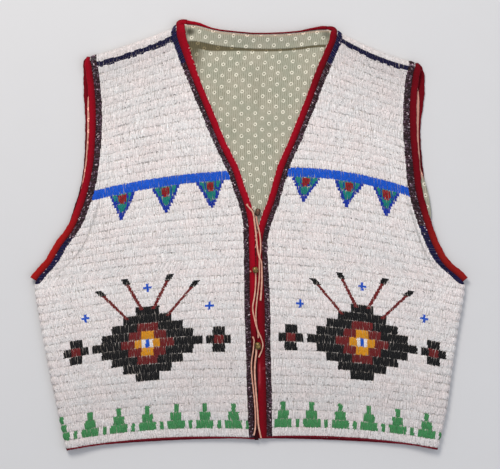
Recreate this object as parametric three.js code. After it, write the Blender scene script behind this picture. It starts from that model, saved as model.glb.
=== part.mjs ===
// A fully beaded hide vest, tied at the front and laid flat with its fronts uppermost.
// Millimetres: x to the viewer's right, y towards the neck, z up from the surface it lies on.
// The beads are lane-stitched, so every lane is a raised ridge that runs across the panel.
import * as THREE from 'three';

const gap = 0.3; // between neighbouring pieces
const hide = 2.4; // hide with its beads, in the groove between two lanes
const laneRise = 1; // crest of a lane above that groove
const laneCount = 47; // from hem to shoulder seam
const lanePitch = 10.8;
const underarm = 20.5; // the lane where the side fold ends and the armhole begins
const foldRadius = 5; // outside of the side and shoulder folds
const liningWall = 1;
const edging = 7.5; // bead roll along the front and neck edge
const rollRise = 1.3; // of a bead roll above the hide
const bindingRise = 0.6; // of the wool above the panel that it edges
const armholeBinding = 7;
const hemBinding = 2.4;
const thongRadius = 1.15;

const liningRest = hide + gap; // underside of the lining
const frontRest = liningRest + liningWall + 0.4; // underside of a front where it lies flat
const foldSeat = 2 * foldRadius + gap - hide - frontRest; // how much a fold lifts a front
const sideFall = 46; // the front comes down to its rest this far in from a side fold
const shoulderFall = 3; // and this many lanes below the shoulder seam

// A front, one row for each section from the hem up. lane: counted from the hem. sideX, sideY:
// the side fold, then the armhole edge. edgeX, edgeY: the front edge, then the neck edge.
// bow: how far the lane arches. trim: width of the bead roll at the armhole. bind: width of
// the wool on the front edge. behind: how far the back's armhole edge stands out past this one.
const columnNames = ['lane', 'sideX', 'sideY', 'edgeX', 'edgeY', 'bow', 'trim', 'bind', 'behind'];
const leftSections = [
  [0, -236, -276, 7.5, -262, 7, 0, 4.6, 0],
  [5, -247, -225, 5, -207, 7, 0, 6.2, 0],
  [10, -258, -174, 3.5, -151, 7, 0, 6.8, 0],
  [15, -267.5, -123, 1.5, -95, 6, 0, 7.6, 0],
  [20, -276, -72, 1, -40, 6, 0, 7.6, 0],
  [21, -274.8, -59, 0.5, -29, 6, 10, 7.4, 0],
  [23, -256.5, -37, 0, -7, 6, 10.5, 7.8, 0.3],
  [25, -244, -16, -0.5, 15, 5, 10.5, 8, 0.3],
  [27, -228, 6, -5.5, 38, 5, 10.5, 8, 1],
  [29, -218, 28, -13.5, 60.5, 5, 10.5, 8, 3.5],
  [31, -209, 55, -21, 83, 5, 10, 8, 4],
  [34, -202, 88, -37.5, 117, 4, 9, 8, 5],
  [38, -198.5, 130, -57, 164, 3, 9, 8, 6.8],
  [42, -198.5, 173, -76, 210, 0, 9, 8, 6.5],
  [46, -203, 216, -92, 254, -3, 9, 8, 2],
  [47, -205, 224.5, -93.2, 263.2, -3, 9, 8, 0],
];
const rightSections = [
  [0, 244, -275, 22.6, -260, 6, 0, 8, 0],
  [5, 255, -224, 22, -204, 6, 0, 8.6, 0],
  [10, 262, -173, 20.6, -148, 6, 0, 8, 0],
  [15, 269.5, -122, 20, -92, 6, 0, 8, 0],
  [20, 277.8, -71, 17.4, -37, 6, 0, 7.8, 0],
  [21, 276, -60, 16.8, -26, 6, 11, 7.2, 0],
  [23, 252, -38, 17.4, -4, 7, 11, 7.6, 0.3],
  [25, 238.5, -15, 23.2, 18.5, 7, 10.5, 8, 0.3],
  [27, 229, 10, 31.6, 41, 8, 11, 8, 1.5],
  [29, 221.5, 33.5, 38.2, 63, 8, 11, 8, 4.5],
  [31, 215.5, 58, 45.2, 87, 8, 11, 8, 7],
  [34, 212, 89, 60, 121, 5, 10.5, 8, 6],
  [38, 208.5, 129, 78, 166, 2, 10, 8, 6.5],
  [42, 208, 170, 95, 211, -2, 9.5, 8, 9],
  [46, 212, 208, 111.5, 250, -5, 9.5, 8, 6],
  [47, 214.5, 216.5, 113.2, 258, -5, 9, 8, 0],
];
// The back's neck edge, from its left corner to its right one.
const neckEdge = [
  [-93.5, 272.7], [-79, 272.3], [-67, 271], [-56, 268], [-44.5, 265], [-33, 263], [-12, 260.8],
  [7.5, 259.4], [39, 259.8], [66, 262], [77, 263.8], [91, 265.4], [100.5, 265.4], [113.5, 264.8],
];
const neckLeft = neckEdge[0][0];
const neckRight = neckEdge[neckEdge.length - 1][0];
const neckLift = 6.5; // the neck stands this high in the middle
const neckBand = 21; // depth of the stretch that rises to the neck edge
const tuckRise = 0.8; // the lining's tuck across the neck
const stripDepth = 5.6; // of the back's beads in front of the shoulder fold, at its ends
const stripBulge = 1.6; // and how much deeper in the middle

const mix = THREE.MathUtils.lerp;
const ease = THREE.MathUtils.smoothstep;
const arch = (share) => 4 * share * (1 - share);
const direction = (from, to) => new THREE.Vector3().subVectors(to, from).normalize();
const degrees = THREE.MathUtils.degToRad;

// A smooth curve through the rows [at, value]: cubic, with the slopes of the chords at each row.
function smoothThrough(rows) {
  const slope = rows.map((row, i) => {
    const before = rows[Math.max(i - 1, 0)];
    const after = rows[Math.min(i + 1, rows.length - 1)];
    return (after[1] - before[1]) / (after[0] - before[0]);
  });
  return (at) => {
    let i = 0;
    while (i < rows.length - 2 && at > rows[i + 1][0]) i += 1;
    const span = rows[i + 1][0] - rows[i][0];
    const t = (at - rows[i][0]) / span;
    const near = (1 + 2 * t) * (1 - t) ** 2 * rows[i][1] + t * t * (3 - 2 * t) * rows[i + 1][1];
    return near + span * t * (1 - t) * ((1 - t) * slope[i] - t * slope[i + 1]);
  };
}

// A front panel: its outline as functions of the lane, the way its side faces, its swell's phase.
function makeFront(sections, outward, phase) {
  const front = { outward, phase };
  columnNames.slice(1).forEach((name, k) => {
    front[name] = smoothThrough(sections.map((row) => [row[0], row[k + 1]]));
  });
  return front;
}
const left = makeFront(leftSections, -1, 0.6);
const right = makeFront(rightSections, 1, 2.1);
const neckY = smoothThrough(neckEdge);

function frontWidth(front, lane) {
  const dx = front.edgeX(lane) - front.sideX(lane);
  return Math.hypot(dx, front.edgeY(lane) - front.sideY(lane));
}

// A point of the front in plan, a distance in from its side along the lane.
function onLane(front, lane, distance) {
  const across = distance / frontWidth(front, lane);
  const x = mix(front.sideX(lane), front.edgeX(lane), across);
  return [x, mix(front.sideY(lane), front.edgeY(lane), across) + front.bow(lane) * arch(across)];
}

// How high the underside of a front lies: lifted by the folds, with a soft swell between them
// and a trough that follows the armhole.
function frontSeat(front, lane, distance) {
  const atSide = (1 - ease(lane, underarm - 1, underarm + 2)) * (1 - ease(distance, foldRadius, sideFall));
  const atShoulder = ease(lane, laneCount - shoulderFall, laneCount);
  const across = THREE.MathUtils.clamp(distance / frontWidth(front, lane), 0, 1);
  const beside = Math.exp(-(((distance - front.trim(lane) - 15) / 9) ** 2));
  const trough = 0.9 * beside * ease(lane, underarm - 1, underarm + 1) * (1 - ease(lane, 30, 38));
  const wave = 1.3 + 0.5 * Math.sin(lane * 0.42 + front.phase) * Math.cos(across * 7 + front.phase);
  const swell = wave * Math.sin(Math.PI * across) ** 0.7 * ease(lane, -1, 4) * (1 - ease(lane, 40, 46));
  return frontRest + foldSeat * Math.max(atSide, atShoulder) + swell * (1 - trough);
}

// The columns of a front: three steps round the side fold or across the armhole's bead roll,
// the field of lanes, and two steps across the bead roll at the edge.
const foldTurns = [0, 32, 62, 90].map(degrees);
const rollShares = [0, 0.3, 0.7, 1];
const rollHeights = [0.2, rollRise, rollRise, 0.1];
const fieldCells = 6;
const foldColumn = foldTurns.length - 1;
const edgeColumn = foldColumn + fieldCells + 2;

function frontPoint(front, column, lane) {
  const width = frontWidth(front, lane);
  const folded = 1 - ease(lane, underarm - 0.5, underarm + 0.5);
  const crest = laneRise * Math.abs(Math.sin(Math.PI * lane));
  const fieldStart = mix(front.trim(lane), foldRadius, folded);
  const fieldEnd = width - edging;
  let [outerIn, innerIn, outerZ, innerZ] = [0, 0, 0, 0];
  if (column <= foldColumn) {
    const turn = foldTurns[column];
    const flatIn = front.trim(lane) * rollShares[column];
    const seat = frontSeat(front, lane, flatIn);
    const centre = foldRadius + gap;
    const outerRadius = foldRadius + crest;
    const innerRadius = foldRadius - hide;
    outerIn = mix(flatIn, foldRadius - outerRadius * Math.cos(turn), folded);
    innerIn = mix(flatIn, foldRadius - innerRadius * Math.cos(turn), folded);
    outerZ = mix(seat + hide + rollHeights[column], centre + outerRadius * Math.sin(turn), folded);
    innerZ = mix(seat, centre + innerRadius * Math.sin(turn), folded);
  } else {
    const step = column - foldColumn;
    const rolled = step > fieldCells;
    outerIn = rolled ? width - edging * (column === edgeColumn ? 0 : 0.45)
      : mix(fieldStart, fieldEnd, step / fieldCells);
    innerIn = outerIn;
    innerZ = frontSeat(front, lane, outerIn);
    const heights = { [fieldCells]: 0.3 * crest, [fieldCells + 1]: rollRise, [fieldCells + 2]: 0.3 };
    outerZ = innerZ + hide + (heights[step] ?? crest);
  }
  const outer = new THREE.Vector3(...onLane(front, lane, outerIn), outerZ);
  const inner = new THREE.Vector3(...onLane(front, lane, innerIn), innerZ);
  return { outer, inner };
}

// The front's top edge at x, and the line of the shoulder fold above it.
function seamY(x) {
  const front = x < 10 ? left : right;
  const across = (x - front.sideX(laneCount)) / (front.edgeX(laneCount) - front.sideX(laneCount));
  const y = mix(front.sideY(laneCount), front.edgeY(laneCount), across);
  return y + front.bow(laneCount) * arch(THREE.MathUtils.clamp(across, 0, 1));
}
function shoulderY(x) {
  const front = x < 10 ? left : right;
  const across = (x - front.sideX(laneCount)) / (front.edgeX(laneCount) - front.sideX(laneCount));
  const corner = (x < 10 ? 3.2 : 0.8) * ease(across, 0.93, 1);
  return seamY(x) + stripDepth + stripBulge * arch(THREE.MathUtils.clamp(across, 0, 1)) + corner;
}

// The back's columns: across the left edge, to the neck's left corner, across the neck, and out
// to the right edge. zone says between which two lines of the panel share runs.
const neckShares = [0.02, 0.08, 0.2, 0.35, 0.5, 0.65, 0.8, 0.92, 0.98];
const backColumns = [
  ...foldTurns.map((turn, k) => ({ zone: 'left', turn, share: k / foldColumn })),
  ...[0.5, 0.93, 1].map((share) => ({ zone: 'leftShoulder', share })),
  ...neckShares.map((share) => ({ zone: 'neck', share })),
  ...[0, 0.07, 0.5].map((share) => ({ zone: 'rightShoulder', share })),
  ...foldTurns.map((turn, k) => ({ zone: 'right', turn, share: k / foldColumn })).reverse(),
];
const neckFirst = backColumns.findIndex((column) => column.zone === 'neck') - 1;
const neckLast = backColumns.findIndex((column) => column.zone === 'rightShoulder');

// The back's rows: by lane at the sides, then by distance down from the top line, then round the
// shoulder fold to the seam.
const steps = (count, from, step) => Array.from({ length: count }, (_, k) => from + k * step);
const armholeStart = 21; // the lane where the wool of the armhole begins
const laneRows = [...steps(43, 0, 0.5), ...steps(11, 22, 2)].map((lane) => ({ lane }));
const dropRows = [26, 21, 14, 7, 2.5, 0].map((drop) => ({ drop }));
const turnRows = [-60, -30, 0, 30, 60, 90].map((turn) => ({ turn: degrees(turn) }));
const backRows = [...laneRows, ...dropRows, ...turnRows, { seam: true }];
const wrapStart = laneRows.length + dropRows.length - 1;
const edgeWidth = 6; // of the flat columns at the back's armhole edge
const backHemRise = 12;

const rowLane = (row) => row.lane ?? laneCount - (row.drop ?? 0) / lanePitch;
const backEdge = (front, lane) => front.sideX(lane) + front.outward * front.behind(lane);

// How far the neck edge has risen at x, a distance down from it.
function neckRise(x, drop) {
  const across = THREE.MathUtils.clamp((x - neckLeft) / (neckRight - neckLeft), 0, 1);
  return neckLift * arch(across) * (1 - ease(drop, 0, neckBand));
}

function backPoint(column, row) {
  const lane = rowLane(row);
  const folded = 1 - ease(lane, underarm - 0.5, underarm + 0.5);
  const crest = laneRise * Math.abs(Math.sin(Math.PI * lane)) * folded;
  const ends = { left: backEdge(left, lane), right: backEdge(right, lane) };
  const inset = mix(edgeWidth, foldRadius, folded);
  const runs = {
    leftShoulder: [ends.left + inset, neckLeft],
    neck: [neckLeft, neckRight],
    rightShoulder: [neckRight, ends.right - inset],
  };
  let [outerX, innerX, outerZ, innerZ] = [0, 0, 0, hide];
  if (column.turn !== undefined) {
    const side = column.zone === 'left' ? 1 : -1;
    const flatIn = edgeWidth * column.share;
    const outerRadius = foldRadius + crest * Math.cos(column.turn);
    const innerRadius = foldRadius - hide;
    outerX = ends[column.zone] + side * mix(flatIn, foldRadius - outerRadius * Math.cos(column.turn), folded);
    innerX = ends[column.zone] + side * mix(flatIn, foldRadius - innerRadius * Math.cos(column.turn), folded);
    outerZ = mix(0, foldRadius * (1 - Math.sin(column.turn)), folded);
    innerZ = mix(hide, foldRadius - innerRadius * Math.sin(column.turn), folded);
  } else {
    outerX = mix(...runs[column.zone], column.share);
    innerX = outerX;
  }
  let [outerY, innerY] = [0, 0];
  if (row.lane !== undefined) {
    const across = (outerX - ends.left) / (ends.right - ends.left);
    outerY = mix(left.sideY(lane), right.sideY(lane), across);
    outerY += backHemRise * arch(THREE.MathUtils.clamp(across, 0, 1)) * (1 - ease(lane, 0, 43));
    innerY = outerY;
  } else if (column.zone === 'neck') {
    const drop = row.drop ?? 0;
    outerY = neckY(outerX) - drop;
    innerY = outerY;
    outerZ += neckRise(outerX, drop);
    innerZ += neckRise(outerX, drop);
  } else if (row.drop !== undefined) {
    outerY = shoulderY(outerX) - foldRadius - row.drop;
    innerY = outerY;
  } else {
    const turn = row.turn ?? degrees(90);
    const centreY = row.seam ? seamY(outerX) + gap : shoulderY(outerX) - foldRadius;
    outerY = centreY + foldRadius * Math.cos(turn);
    innerY = centreY + (foldRadius - hide) * Math.cos(turn);
    outerZ = foldRadius * (1 + Math.sin(turn));
    innerZ = foldRadius + (foldRadius - hide) * Math.sin(turn);
  }
  return { outer: new THREE.Vector3(outerX, outerY, outerZ), inner: new THREE.Vector3(innerX, innerY, innerZ) };
}

// The lining lies on the back's inside, clear of its edges, from below the neck opening to the top.
const liningInset = 1;
const liningShares = {
  left: [0, 0.35, 0.7, 1],
  neck: neckShares,
  right: [0, 0.3, 0.65, 1],
};
const liningColumns = Object.entries(liningShares).flatMap(([zone, shares]) => (
  shares.map((share) => ({ zone, share }))));
const liningRows = [
  ...[21.8, 24, 27, 30, 33, 36, 39, 42].map((lane) => ({ lane })),
  ...[26, 21, 20, 14, 7, 1.8].map((drop) => ({ drop })),
];

function liningPoint(column, row) {
  const lane = rowLane(row);
  const ends = {
    left: [backEdge(left, lane) + liningInset, neckLeft],
    neck: [neckLeft, neckRight],
    right: [neckRight, backEdge(right, lane) - liningInset],
  };
  const x = mix(...ends[column.zone], column.share);
  const across = (x - ends.left[0]) / (ends.right[1] - ends.left[0]);
  let y = mix(left.sideY(lane), right.sideY(lane), across);
  let [lower, upper] = [liningRest, liningRest + liningWall];
  if (row.drop !== undefined) {
    const overNeck = column.zone === 'neck';
    y = (overNeck ? neckY(x) : shoulderY(x) - foldRadius) - row.drop;
    const rise = overNeck ? neckRise(x, row.drop) : 0;
    const tucked = overNeck && row.drop < neckBand;
    lower += rise;
    upper += rise + (tucked ? tuckRise : 0);
  }
  return { outer: new THREE.Vector3(x, y, upper), inner: new THREE.Vector3(x, y, lower) };
}

// A closed wall over a grid of points, each with an outer and an inner place. The inside takes
// only the rows in innerRows; kept(i, j) says which cells are cloth.
function closedWall(grid, innerRows, kept = () => true) {
  const rows = grid.length;
  const columns = grid[0].length;
  const positions = grid.flat().flatMap(({ outer, inner }) => [...outer.toArray(), ...inner.toArray()]);
  const outerAt = (i, j) => 2 * (i * columns + j);
  const innerAt = (i, j) => outerAt(i, j) + 1;
  const isCloth = (i, j) => i >= 0 && j >= 0 && i < rows - 1 && j < columns - 1 && kept(i, j);
  const index = [];
  const fan = (ring) => ring.slice(2).forEach((corner, k) => index.push(ring[0], ring[k + 1], corner));
  const between = (from, to) => steps(Math.abs(to - from) - 1, Math.min(from, to) + 1, 1);
  for (let i = 0; i < rows - 1; i += 1) {
    for (let j = 0; j < columns - 1; j += 1) {
      if (!isCloth(i, j)) continue;
      fan([outerAt(i, j), outerAt(i, j + 1), outerAt(i + 1, j + 1), outerAt(i + 1, j)]);
      const rims = [
        [isCloth(i - 1, j), [i, j], [i, j + 1]],
        [isCloth(i, j + 1), [i, j + 1], [i + 1, j + 1]],
        [isCloth(i + 1, j), [i + 1, j + 1], [i + 1, j]],
        [isCloth(i, j - 1), [i + 1, j], [i, j]],
      ];
      rims.filter(([joined]) => !joined).forEach(([, from, to]) => {
        fan([outerAt(...to), outerAt(...from), innerAt(...from), innerAt(...to)]);
      });
    }
  }
  for (let k = 0; k < innerRows.length - 1; k += 1) {
    const [low, high] = [innerRows[k], innerRows[k + 1]];
    for (let j = 0; j < columns - 1; j += 1) {
      if (!isCloth(low, j)) continue;
      const leftRim = isCloth(low, j - 1) ? [] : between(low, high).map((i) => innerAt(i, j));
      const rightRim = isCloth(low, j + 1) ? [] : between(low, high).reverse().map((i) => innerAt(i, j + 1));
      const leftSide = [innerAt(low, j), ...leftRim, innerAt(high, j)];
      const rightSide = [innerAt(high, j + 1), ...rightRim, innerAt(low, j + 1)];
      fan(leftRim.length ? [rightSide.pop(), ...leftSide, ...rightSide] : [...leftSide, ...rightSide]);
    }
  }
  return facingOut(positions, index);
}

// A closed tube of equal rings of points, capped at both ends.
function closedTube(rings) {
  const sides = rings[0].length;
  const positions = rings.flat().flatMap((point) => point.toArray());
  const index = [];
  for (let i = 0; i < rings.length - 1; i += 1) {
    for (let j = 0; j < sides; j += 1) {
      const [a, b] = [i * sides + j, i * sides + (j + 1) % sides];
      index.push(a, b, b + sides, a, b + sides, a + sides);
    }
  }
  const last = (rings.length - 1) * sides;
  for (let j = 1; j < sides - 1; j += 1) index.push(0, j + 1, j, last, last + j, last + j + 1);
  return facingOut(positions, index);
}

// A geometry from points and triangles, turned so that its volume is positive.
function facingOut(positions, index) {
  const at = (i) => new THREE.Vector3(...positions.slice(3 * i, 3 * i + 3));
  let volume = 0;
  for (let k = 0; k < index.length; k += 3) {
    volume += at(index[k]).dot(at(index[k + 1]).cross(at(index[k + 2])));
  }
  const geometry = new THREE.BufferGeometry();
  geometry.setAttribute('position', new THREE.Float32BufferAttribute(positions, 3));
  geometry.setIndex(volume > 0 ? index : [...index].reverse());
  geometry.computeVertexNormals();
  return geometry;
}

// A wool strip that butts against a panel's edge. pairs: the edge's lower and upper points along
// the way; hand: which side of the way it lies on; width: a function of the share of the way.
function woolStrip(pairs, hand, width, rise) {
  const rings = pairs.map(({ lower, upper }, k) => {
    const before = pairs[Math.max(k - 1, 0)].lower;
    const after = pairs[Math.min(k + 1, pairs.length - 1)].lower;
    const up = direction(lower, upper);
    const out = direction(before, after).cross(up).multiplyScalar(hand).normalize();
    const across = width(k / (pairs.length - 1));
    const height = lower.distanceTo(upper) + rise;
    const section = [
      [0, 0], [across - 1, 0], [across, 0.3 * height], [across, 0.65 * height],
      [across - 1.2, height], [0, height],
    ];
    return section.map(([w, h]) => lower.clone().addScaledVector(out, gap + w).addScaledVector(up, h));
  });
  return closedTube(rings);
}

// Edges as pairs of points, from the lower face of the panel to its upper one.
const frontPair = (front, column, lane) => {
  const { outer, inner } = frontPoint(front, column, lane);
  return { lower: inner, upper: outer };
};
const backPair = (column, row) => {
  const { outer, inner } = backPoint(column, row);
  return { lower: outer, upper: inner };
};
const moved = ({ lower, upper }, x, y) => ({
  lower: lower.clone().add(new THREE.Vector3(x, y, 0)),
  upper: upper.clone().add(new THREE.Vector3(x, y, 0)),
});

// Up the front edge and the neck, then over the shoulder fold beside the back's strip of beads.
function frontEdgePairs(front, cornerColumn) {
  const edge = steps(laneCount + 1, 0, 1).map((lane) => frontPair(front, edgeColumn, lane));
  const overFold = [90, 60, 35, 15].map((turn) => {
    const { outer, inner } = backPoint(cornerColumn, { turn: degrees(turn) });
    return { lower: inner, upper: outer };
  });
  return [moved(edge[0], 0, -hemBinding - gap), ...edge, ...overFold];
}

// Up the back's armhole edge and over the shoulder fold to the seam.
function backArmholePairs(column) {
  return backRows.filter((row) => rowLane(row) >= armholeStart).map((row) => backPair(column, row));
}

const neckPair = (x) => {
  const rise = neckRise(x, 0);
  return {
    lower: new THREE.Vector3(x, neckY(x), rise),
    upper: new THREE.Vector3(x, neckY(x), rise + liningRest + liningWall),
  };
};

// The ties, as the points that each string follows, from where it leaves the vest or a bead.
const thongRoutes = {
  thong_upper_a: [
    [-2.6, 38.7, 8.7], [0.8, 34.4, 8.9], [4.3, 30.4, 8.6], [6, 25, 8.4], [6.8, 18.5, 8.4], [8.2, 8, 8.7],
    [9.3, -1, 8.7], [10.3, -12, 8.7], [11.4, -21, 9.6], [13.2, -28.5, 11.6], [15.7, -34.5, 10.8],
    [16.4, -42, 8.8], [16.5, -51, 8.7], [16.5, -60, 8.7], [16, -70, 8.7], [14.8, -84.7, 8.7],
  ],
  thong_upper_b: [
    [9.4, 24.2, 7.8], [10.2, 18, 8.2], [11.8, 10.6, 8.6], [13.7, 2, 8.7], [15, -9, 8.7],
    [14.9, -19.5, 8.7], [14, -27.5, 8.7], [13.4, -35, 8.7], [13.4, -44, 8.7], [13.3, -55, 8.7],
    [12.3, -67, 8.7], [10.9, -78, 8.7], [9.8, -88, 8.7], [8.9, -99, 8.7], [9, -109.5, 8.7],
    [10.3, -119.5, 8.7], [11.7, -126.5, 8.7], [12, -133, 8.7],
  ],
  thong_middle: [
    [8.6, -49, 10.2], [8.8, -55, 9], [8.6, -63, 8.7], [8.1, -71, 8.7], [6.8, -81.5, 8.7],
    [5, -91, 8.7], [5.2, -99, 9], [6.9, -107, 10.8], [8.9, -115.5, 11.6], [11.7, -124, 11.6],
    [15.1, -131.5, 10.4], [17.4, -138.5, 8.9], [17.8, -143.5, 8.7], [16.2, -149.5, 8.7], [12.6, -157.8, 8.7],
  ],
  thong_lower_a: [
    [5, -131.4, 8.7], [6.6, -135.4, 8.8], [6.4, -140, 8.8], [5.7, -147.5, 8.7], [4.1, -157.5, 8.7],
    [3.1, -167.5, 8.7], [3.6, -180, 8.7], [5.4, -197, 8.7], [6.9, -211.5, 8.7], [7.8, -223, 8.7],
    [8.4, -237.5, 8.7], [8.1, -248.5, 8.7], [7.2, -254.5, 8.7], [6.1, -258.5, 8.7],
  ],
  thong_lower_b: [
    [9.6, -146.6, 10.2], [9.3, -153, 9], [8.4, -160, 8.7], [7.6, -168, 8.7], [7.4, -178.5, 8.7],
    [8, -189.5, 8.7], [8.9, -200.5, 8.7], [9.8, -211.5, 8.7], [10.7, -223, 8.7], [11.4, -234, 8.7],
    [12.2, -245, 8.7], [13.8, -254, 8.7], [15.7, -262, 8.7],
  ],
};

// A metal bead with its hole along the tie. place: its middle; length along the tie.
const tieBeads = {
  tie_bead_upper: { place: [11.2, 29, 7.4], radius: 3.4, length: 8.4, turn: -18 },
  tie_bead_middle: { place: [8.1, -45, 11.1], radius: 3.6, length: 7, turn: 8 },
  tie_bead_lower: { place: [11.8, -142.5, 11.1], radius: 3.6, length: 7, turn: 10 },
};

function thongGeometry(points) {
  const curve = new THREE.CatmullRomCurve3(points.map((point) => new THREE.Vector3(...point)));
  const section = new THREE.Shape(steps(8, 0, Math.PI / 4).map((angle) => (
    new THREE.Vector2(thongRadius * Math.cos(angle), thongRadius * Math.sin(angle)))));
  const count = Math.round(curve.getLength() / (6 * thongRadius));
  return new THREE.ExtrudeGeometry(section, { steps: count, extrudePath: curve, bevelEnabled: false });
}

function beadGeometry({ radius, length }) {
  const hole = thongRadius + gap;
  const profile = [
    [hole, -0.5], [0.75 * radius, -0.5], [radius, -0.25], [radius, 0.25], [0.75 * radius, 0.5],
    [hole, 0.5], [hole, -0.5],
  ];
  return new THREE.LatheGeometry(profile.map(([r, y]) => new THREE.Vector2(r, y * length)), 12);
}

const finishes = {
  beads: { color: 0xe1dad5, roughness: 0.35 },
  wool: { color: 0xa50a1e, roughness: 0.9 },
  darkWool: { color: 0x5a0f20, roughness: 0.9 },
  cotton: { color: 0xa5a087, roughness: 0.85 },
  leather: { color: 0xcda08c, roughness: 0.7 },
  brass: { color: 0x96823c, roughness: 0.4, metalness: 1 },
};

const vest = new THREE.Group();
function add(name, geometry, finish) {
  const mesh = new THREE.Mesh(geometry, new THREE.MeshStandardMaterial(finishes[finish]));
  mesh.name = name;
  vest.add(mesh);
  return mesh;
}

const frontLanes = steps(2 * laneCount + 1, 0, 0.5);
const nearUnderarm = (lane) => Math.abs(lane - underarm) < 1.6;
const insideRows = (lanes) => lanes.map((_, i) => i).filter((i) => (
  i % 4 === 0 || nearUnderarm(lanes[i]) || i === lanes.length - 1));
[['left', left], ['right', right]].forEach(([name, front]) => {
  const grid = frontLanes.map((lane) => steps(edgeColumn + 1, 0, 1).map((j) => frontPoint(front, j, lane)));
  add(`front_${name}`, closedWall(grid, insideRows(frontLanes)), 'beads');

  const edgePairs = frontEdgePairs(front, backColumns[name === 'left' ? neckFirst : neckLast]);
  const edgeWidthAt = (share) => front.bind(Math.min(share * (laneCount + 4), laneCount));
  add(`binding_front_${name}`, woolStrip(edgePairs, -front.outward, edgeWidthAt, bindingRise), 'wool');

  const armholeLanes = [...steps(6, armholeStart, 0.5), ...steps(laneCount - 23, 24, 1)];
  const armhole = armholeLanes.map((lane) => frontPair(front, 0, lane));
  const armholeStrip = woolStrip(armhole, front.outward, () => armholeBinding, bindingRise);
  add(`binding_armhole_front_${name}`, armholeStrip, 'wool');

  const backColumn = backColumns[name === 'left' ? 0 : backColumns.length - 1];
  const liningCover = liningWall + gap + 0.1;
  const backStrip = woolStrip(backArmholePairs(backColumn), front.outward, () => armholeBinding - 0.5, liningCover);
  add(`binding_armhole_back_${name}`, backStrip, 'wool');

  const hem = steps(edgeColumn + 1, 0, 1).map((j) => frontPair(front, j, 0));
  add(`binding_hem_${name}`, woolStrip(hem, -front.outward, () => hemBinding, 0.2), 'darkWool');
});

const backGrid = backRows.map((row) => backColumns.map((column) => backPoint(column, row)));
const backInside = backRows.map((_, i) => i).filter((i) => i % 4 === 0 || rowLane(backRows[i]) > underarm - 1.6);
const overShoulder = (i, j) => i < wrapStart || j < neckFirst || j >= neckLast;
add('back_panel', closedWall(backGrid, backInside, overShoulder), 'beads');

const liningGrid = liningRows.map((row) => liningColumns.map((column) => liningPoint(column, row)));
add('back_lining', closedWall(liningGrid, liningRows.map((_, i) => i)), 'cotton');

const neckPath = neckShares.map((share) => neckPair(mix(neckLeft, neckRight, share)));
const neckBindingWidth = (share) => mix(6, 4, share) - 3 * arch(share);
add('binding_back_neck', woolStrip(neckPath, -1, neckBindingWidth, 0.4), 'wool');

const backHem = backColumns.map((column) => backPair(column, { lane: 0 }));
add('binding_hem_back', woolStrip(backHem, 1, () => hemBinding, 0), 'darkWool');

Object.entries(thongRoutes).forEach(([name, route]) => add(name, thongGeometry(route), 'leather'));
Object.entries(tieBeads).forEach(([name, bead]) => {
  const mesh = add(name, beadGeometry(bead), 'brass');
  mesh.position.set(...bead.place);
  mesh.rotation.z = degrees(bead.turn);
});

export default vest;
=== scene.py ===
import math

import bpy
import numpy as np
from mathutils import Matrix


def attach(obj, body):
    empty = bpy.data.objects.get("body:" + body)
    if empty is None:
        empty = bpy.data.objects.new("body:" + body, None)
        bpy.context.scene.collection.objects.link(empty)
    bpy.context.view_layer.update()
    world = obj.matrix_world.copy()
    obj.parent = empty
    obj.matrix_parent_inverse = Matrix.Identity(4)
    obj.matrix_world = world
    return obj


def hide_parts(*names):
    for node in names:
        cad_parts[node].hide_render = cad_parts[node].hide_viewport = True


# A beaded hide vest that lies flat with its fronts up. Lengths are in millimetres until a
# mesh is made: x to the viewer's right, y towards the neck, z up.
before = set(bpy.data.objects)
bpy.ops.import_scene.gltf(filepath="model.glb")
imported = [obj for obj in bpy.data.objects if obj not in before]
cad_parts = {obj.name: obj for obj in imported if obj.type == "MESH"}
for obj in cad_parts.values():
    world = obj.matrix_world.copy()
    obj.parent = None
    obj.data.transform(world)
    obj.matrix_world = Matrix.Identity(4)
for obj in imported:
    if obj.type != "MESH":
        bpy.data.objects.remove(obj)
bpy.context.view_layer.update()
scene = bpy.context.scene
mm = 0.001
chance = np.random.default_rng(7)


def linear(red, green, blue):
    values = np.array([red, green, blue]) / 255
    return tuple(np.where(values <= 0.04045, values / 12.92, ((values + 0.055) / 1.055) ** 2.4))


# ---- camera, floor and light
view = {"middle": (1.3, 0.6), "height": 2300, "wide": 645, "sensor": 36, "top": 8}
cameraData = bpy.data.cameras.new("camera")
cameraData.sensor_width = view["sensor"]
cameraData.lens = view["sensor"] * view["height"] / view["wide"]
camera = bpy.data.objects.new("camera", cameraData)
camera.location = [v * mm for v in (*view["middle"], view["height"] + view["top"])]
scene.collection.objects.link(camera)
scene.camera = camera

studio = {
    "floor": (205, 204, 203), "floorSize": 6000, "ambient": 0.57, "ambientTint": (238, 243, 255),
    # name: place, width, power in watts, tint
    "lamps": {
        "key": ((-650, 1450, 1750), 1000, 39, (255, 250, 244)),
        "fill": ((1300, -300, 1700), 1600, 9, (244, 248, 255)),
    },
}


# ---- small tools for shapes
def mix(low, high, share):
    return low + (high - low) * share


def ease(value, low, high):
    share = np.clip((value - low) / (high - low), 0, 1)
    return share * share * (3 - 2 * share)


def arch(share):
    return 4 * share * (1 - share)


def smoothThrough(rows):
    # a cubic through rows of (at, values...), with the slopes of the chords at each row
    at = np.array([row[0] for row in rows], float)
    value = np.array([row[1:] for row in rows], float)
    order = np.arange(len(at))
    before, after = np.maximum(order - 1, 0), np.minimum(order + 1, len(at) - 1)
    slope = (value[after] - value[before]) / (at[after] - at[before])[:, None]

    def curve(where):
        where = np.asarray(where, float)
        i = np.clip(np.searchsorted(at, where, side="left") - 1, 0, len(at) - 2)
        span = (at[i + 1] - at[i])[..., None]
        t = (where - at[i])[..., None] / span
        near = (1 + 2 * t) * (1 - t) ** 2 * value[i] + t * t * (3 - 2 * t) * value[i + 1]
        return near + span * t * (1 - t) * ((1 - t) * slope[i] - t * slope[i + 1])

    return curve


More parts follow.
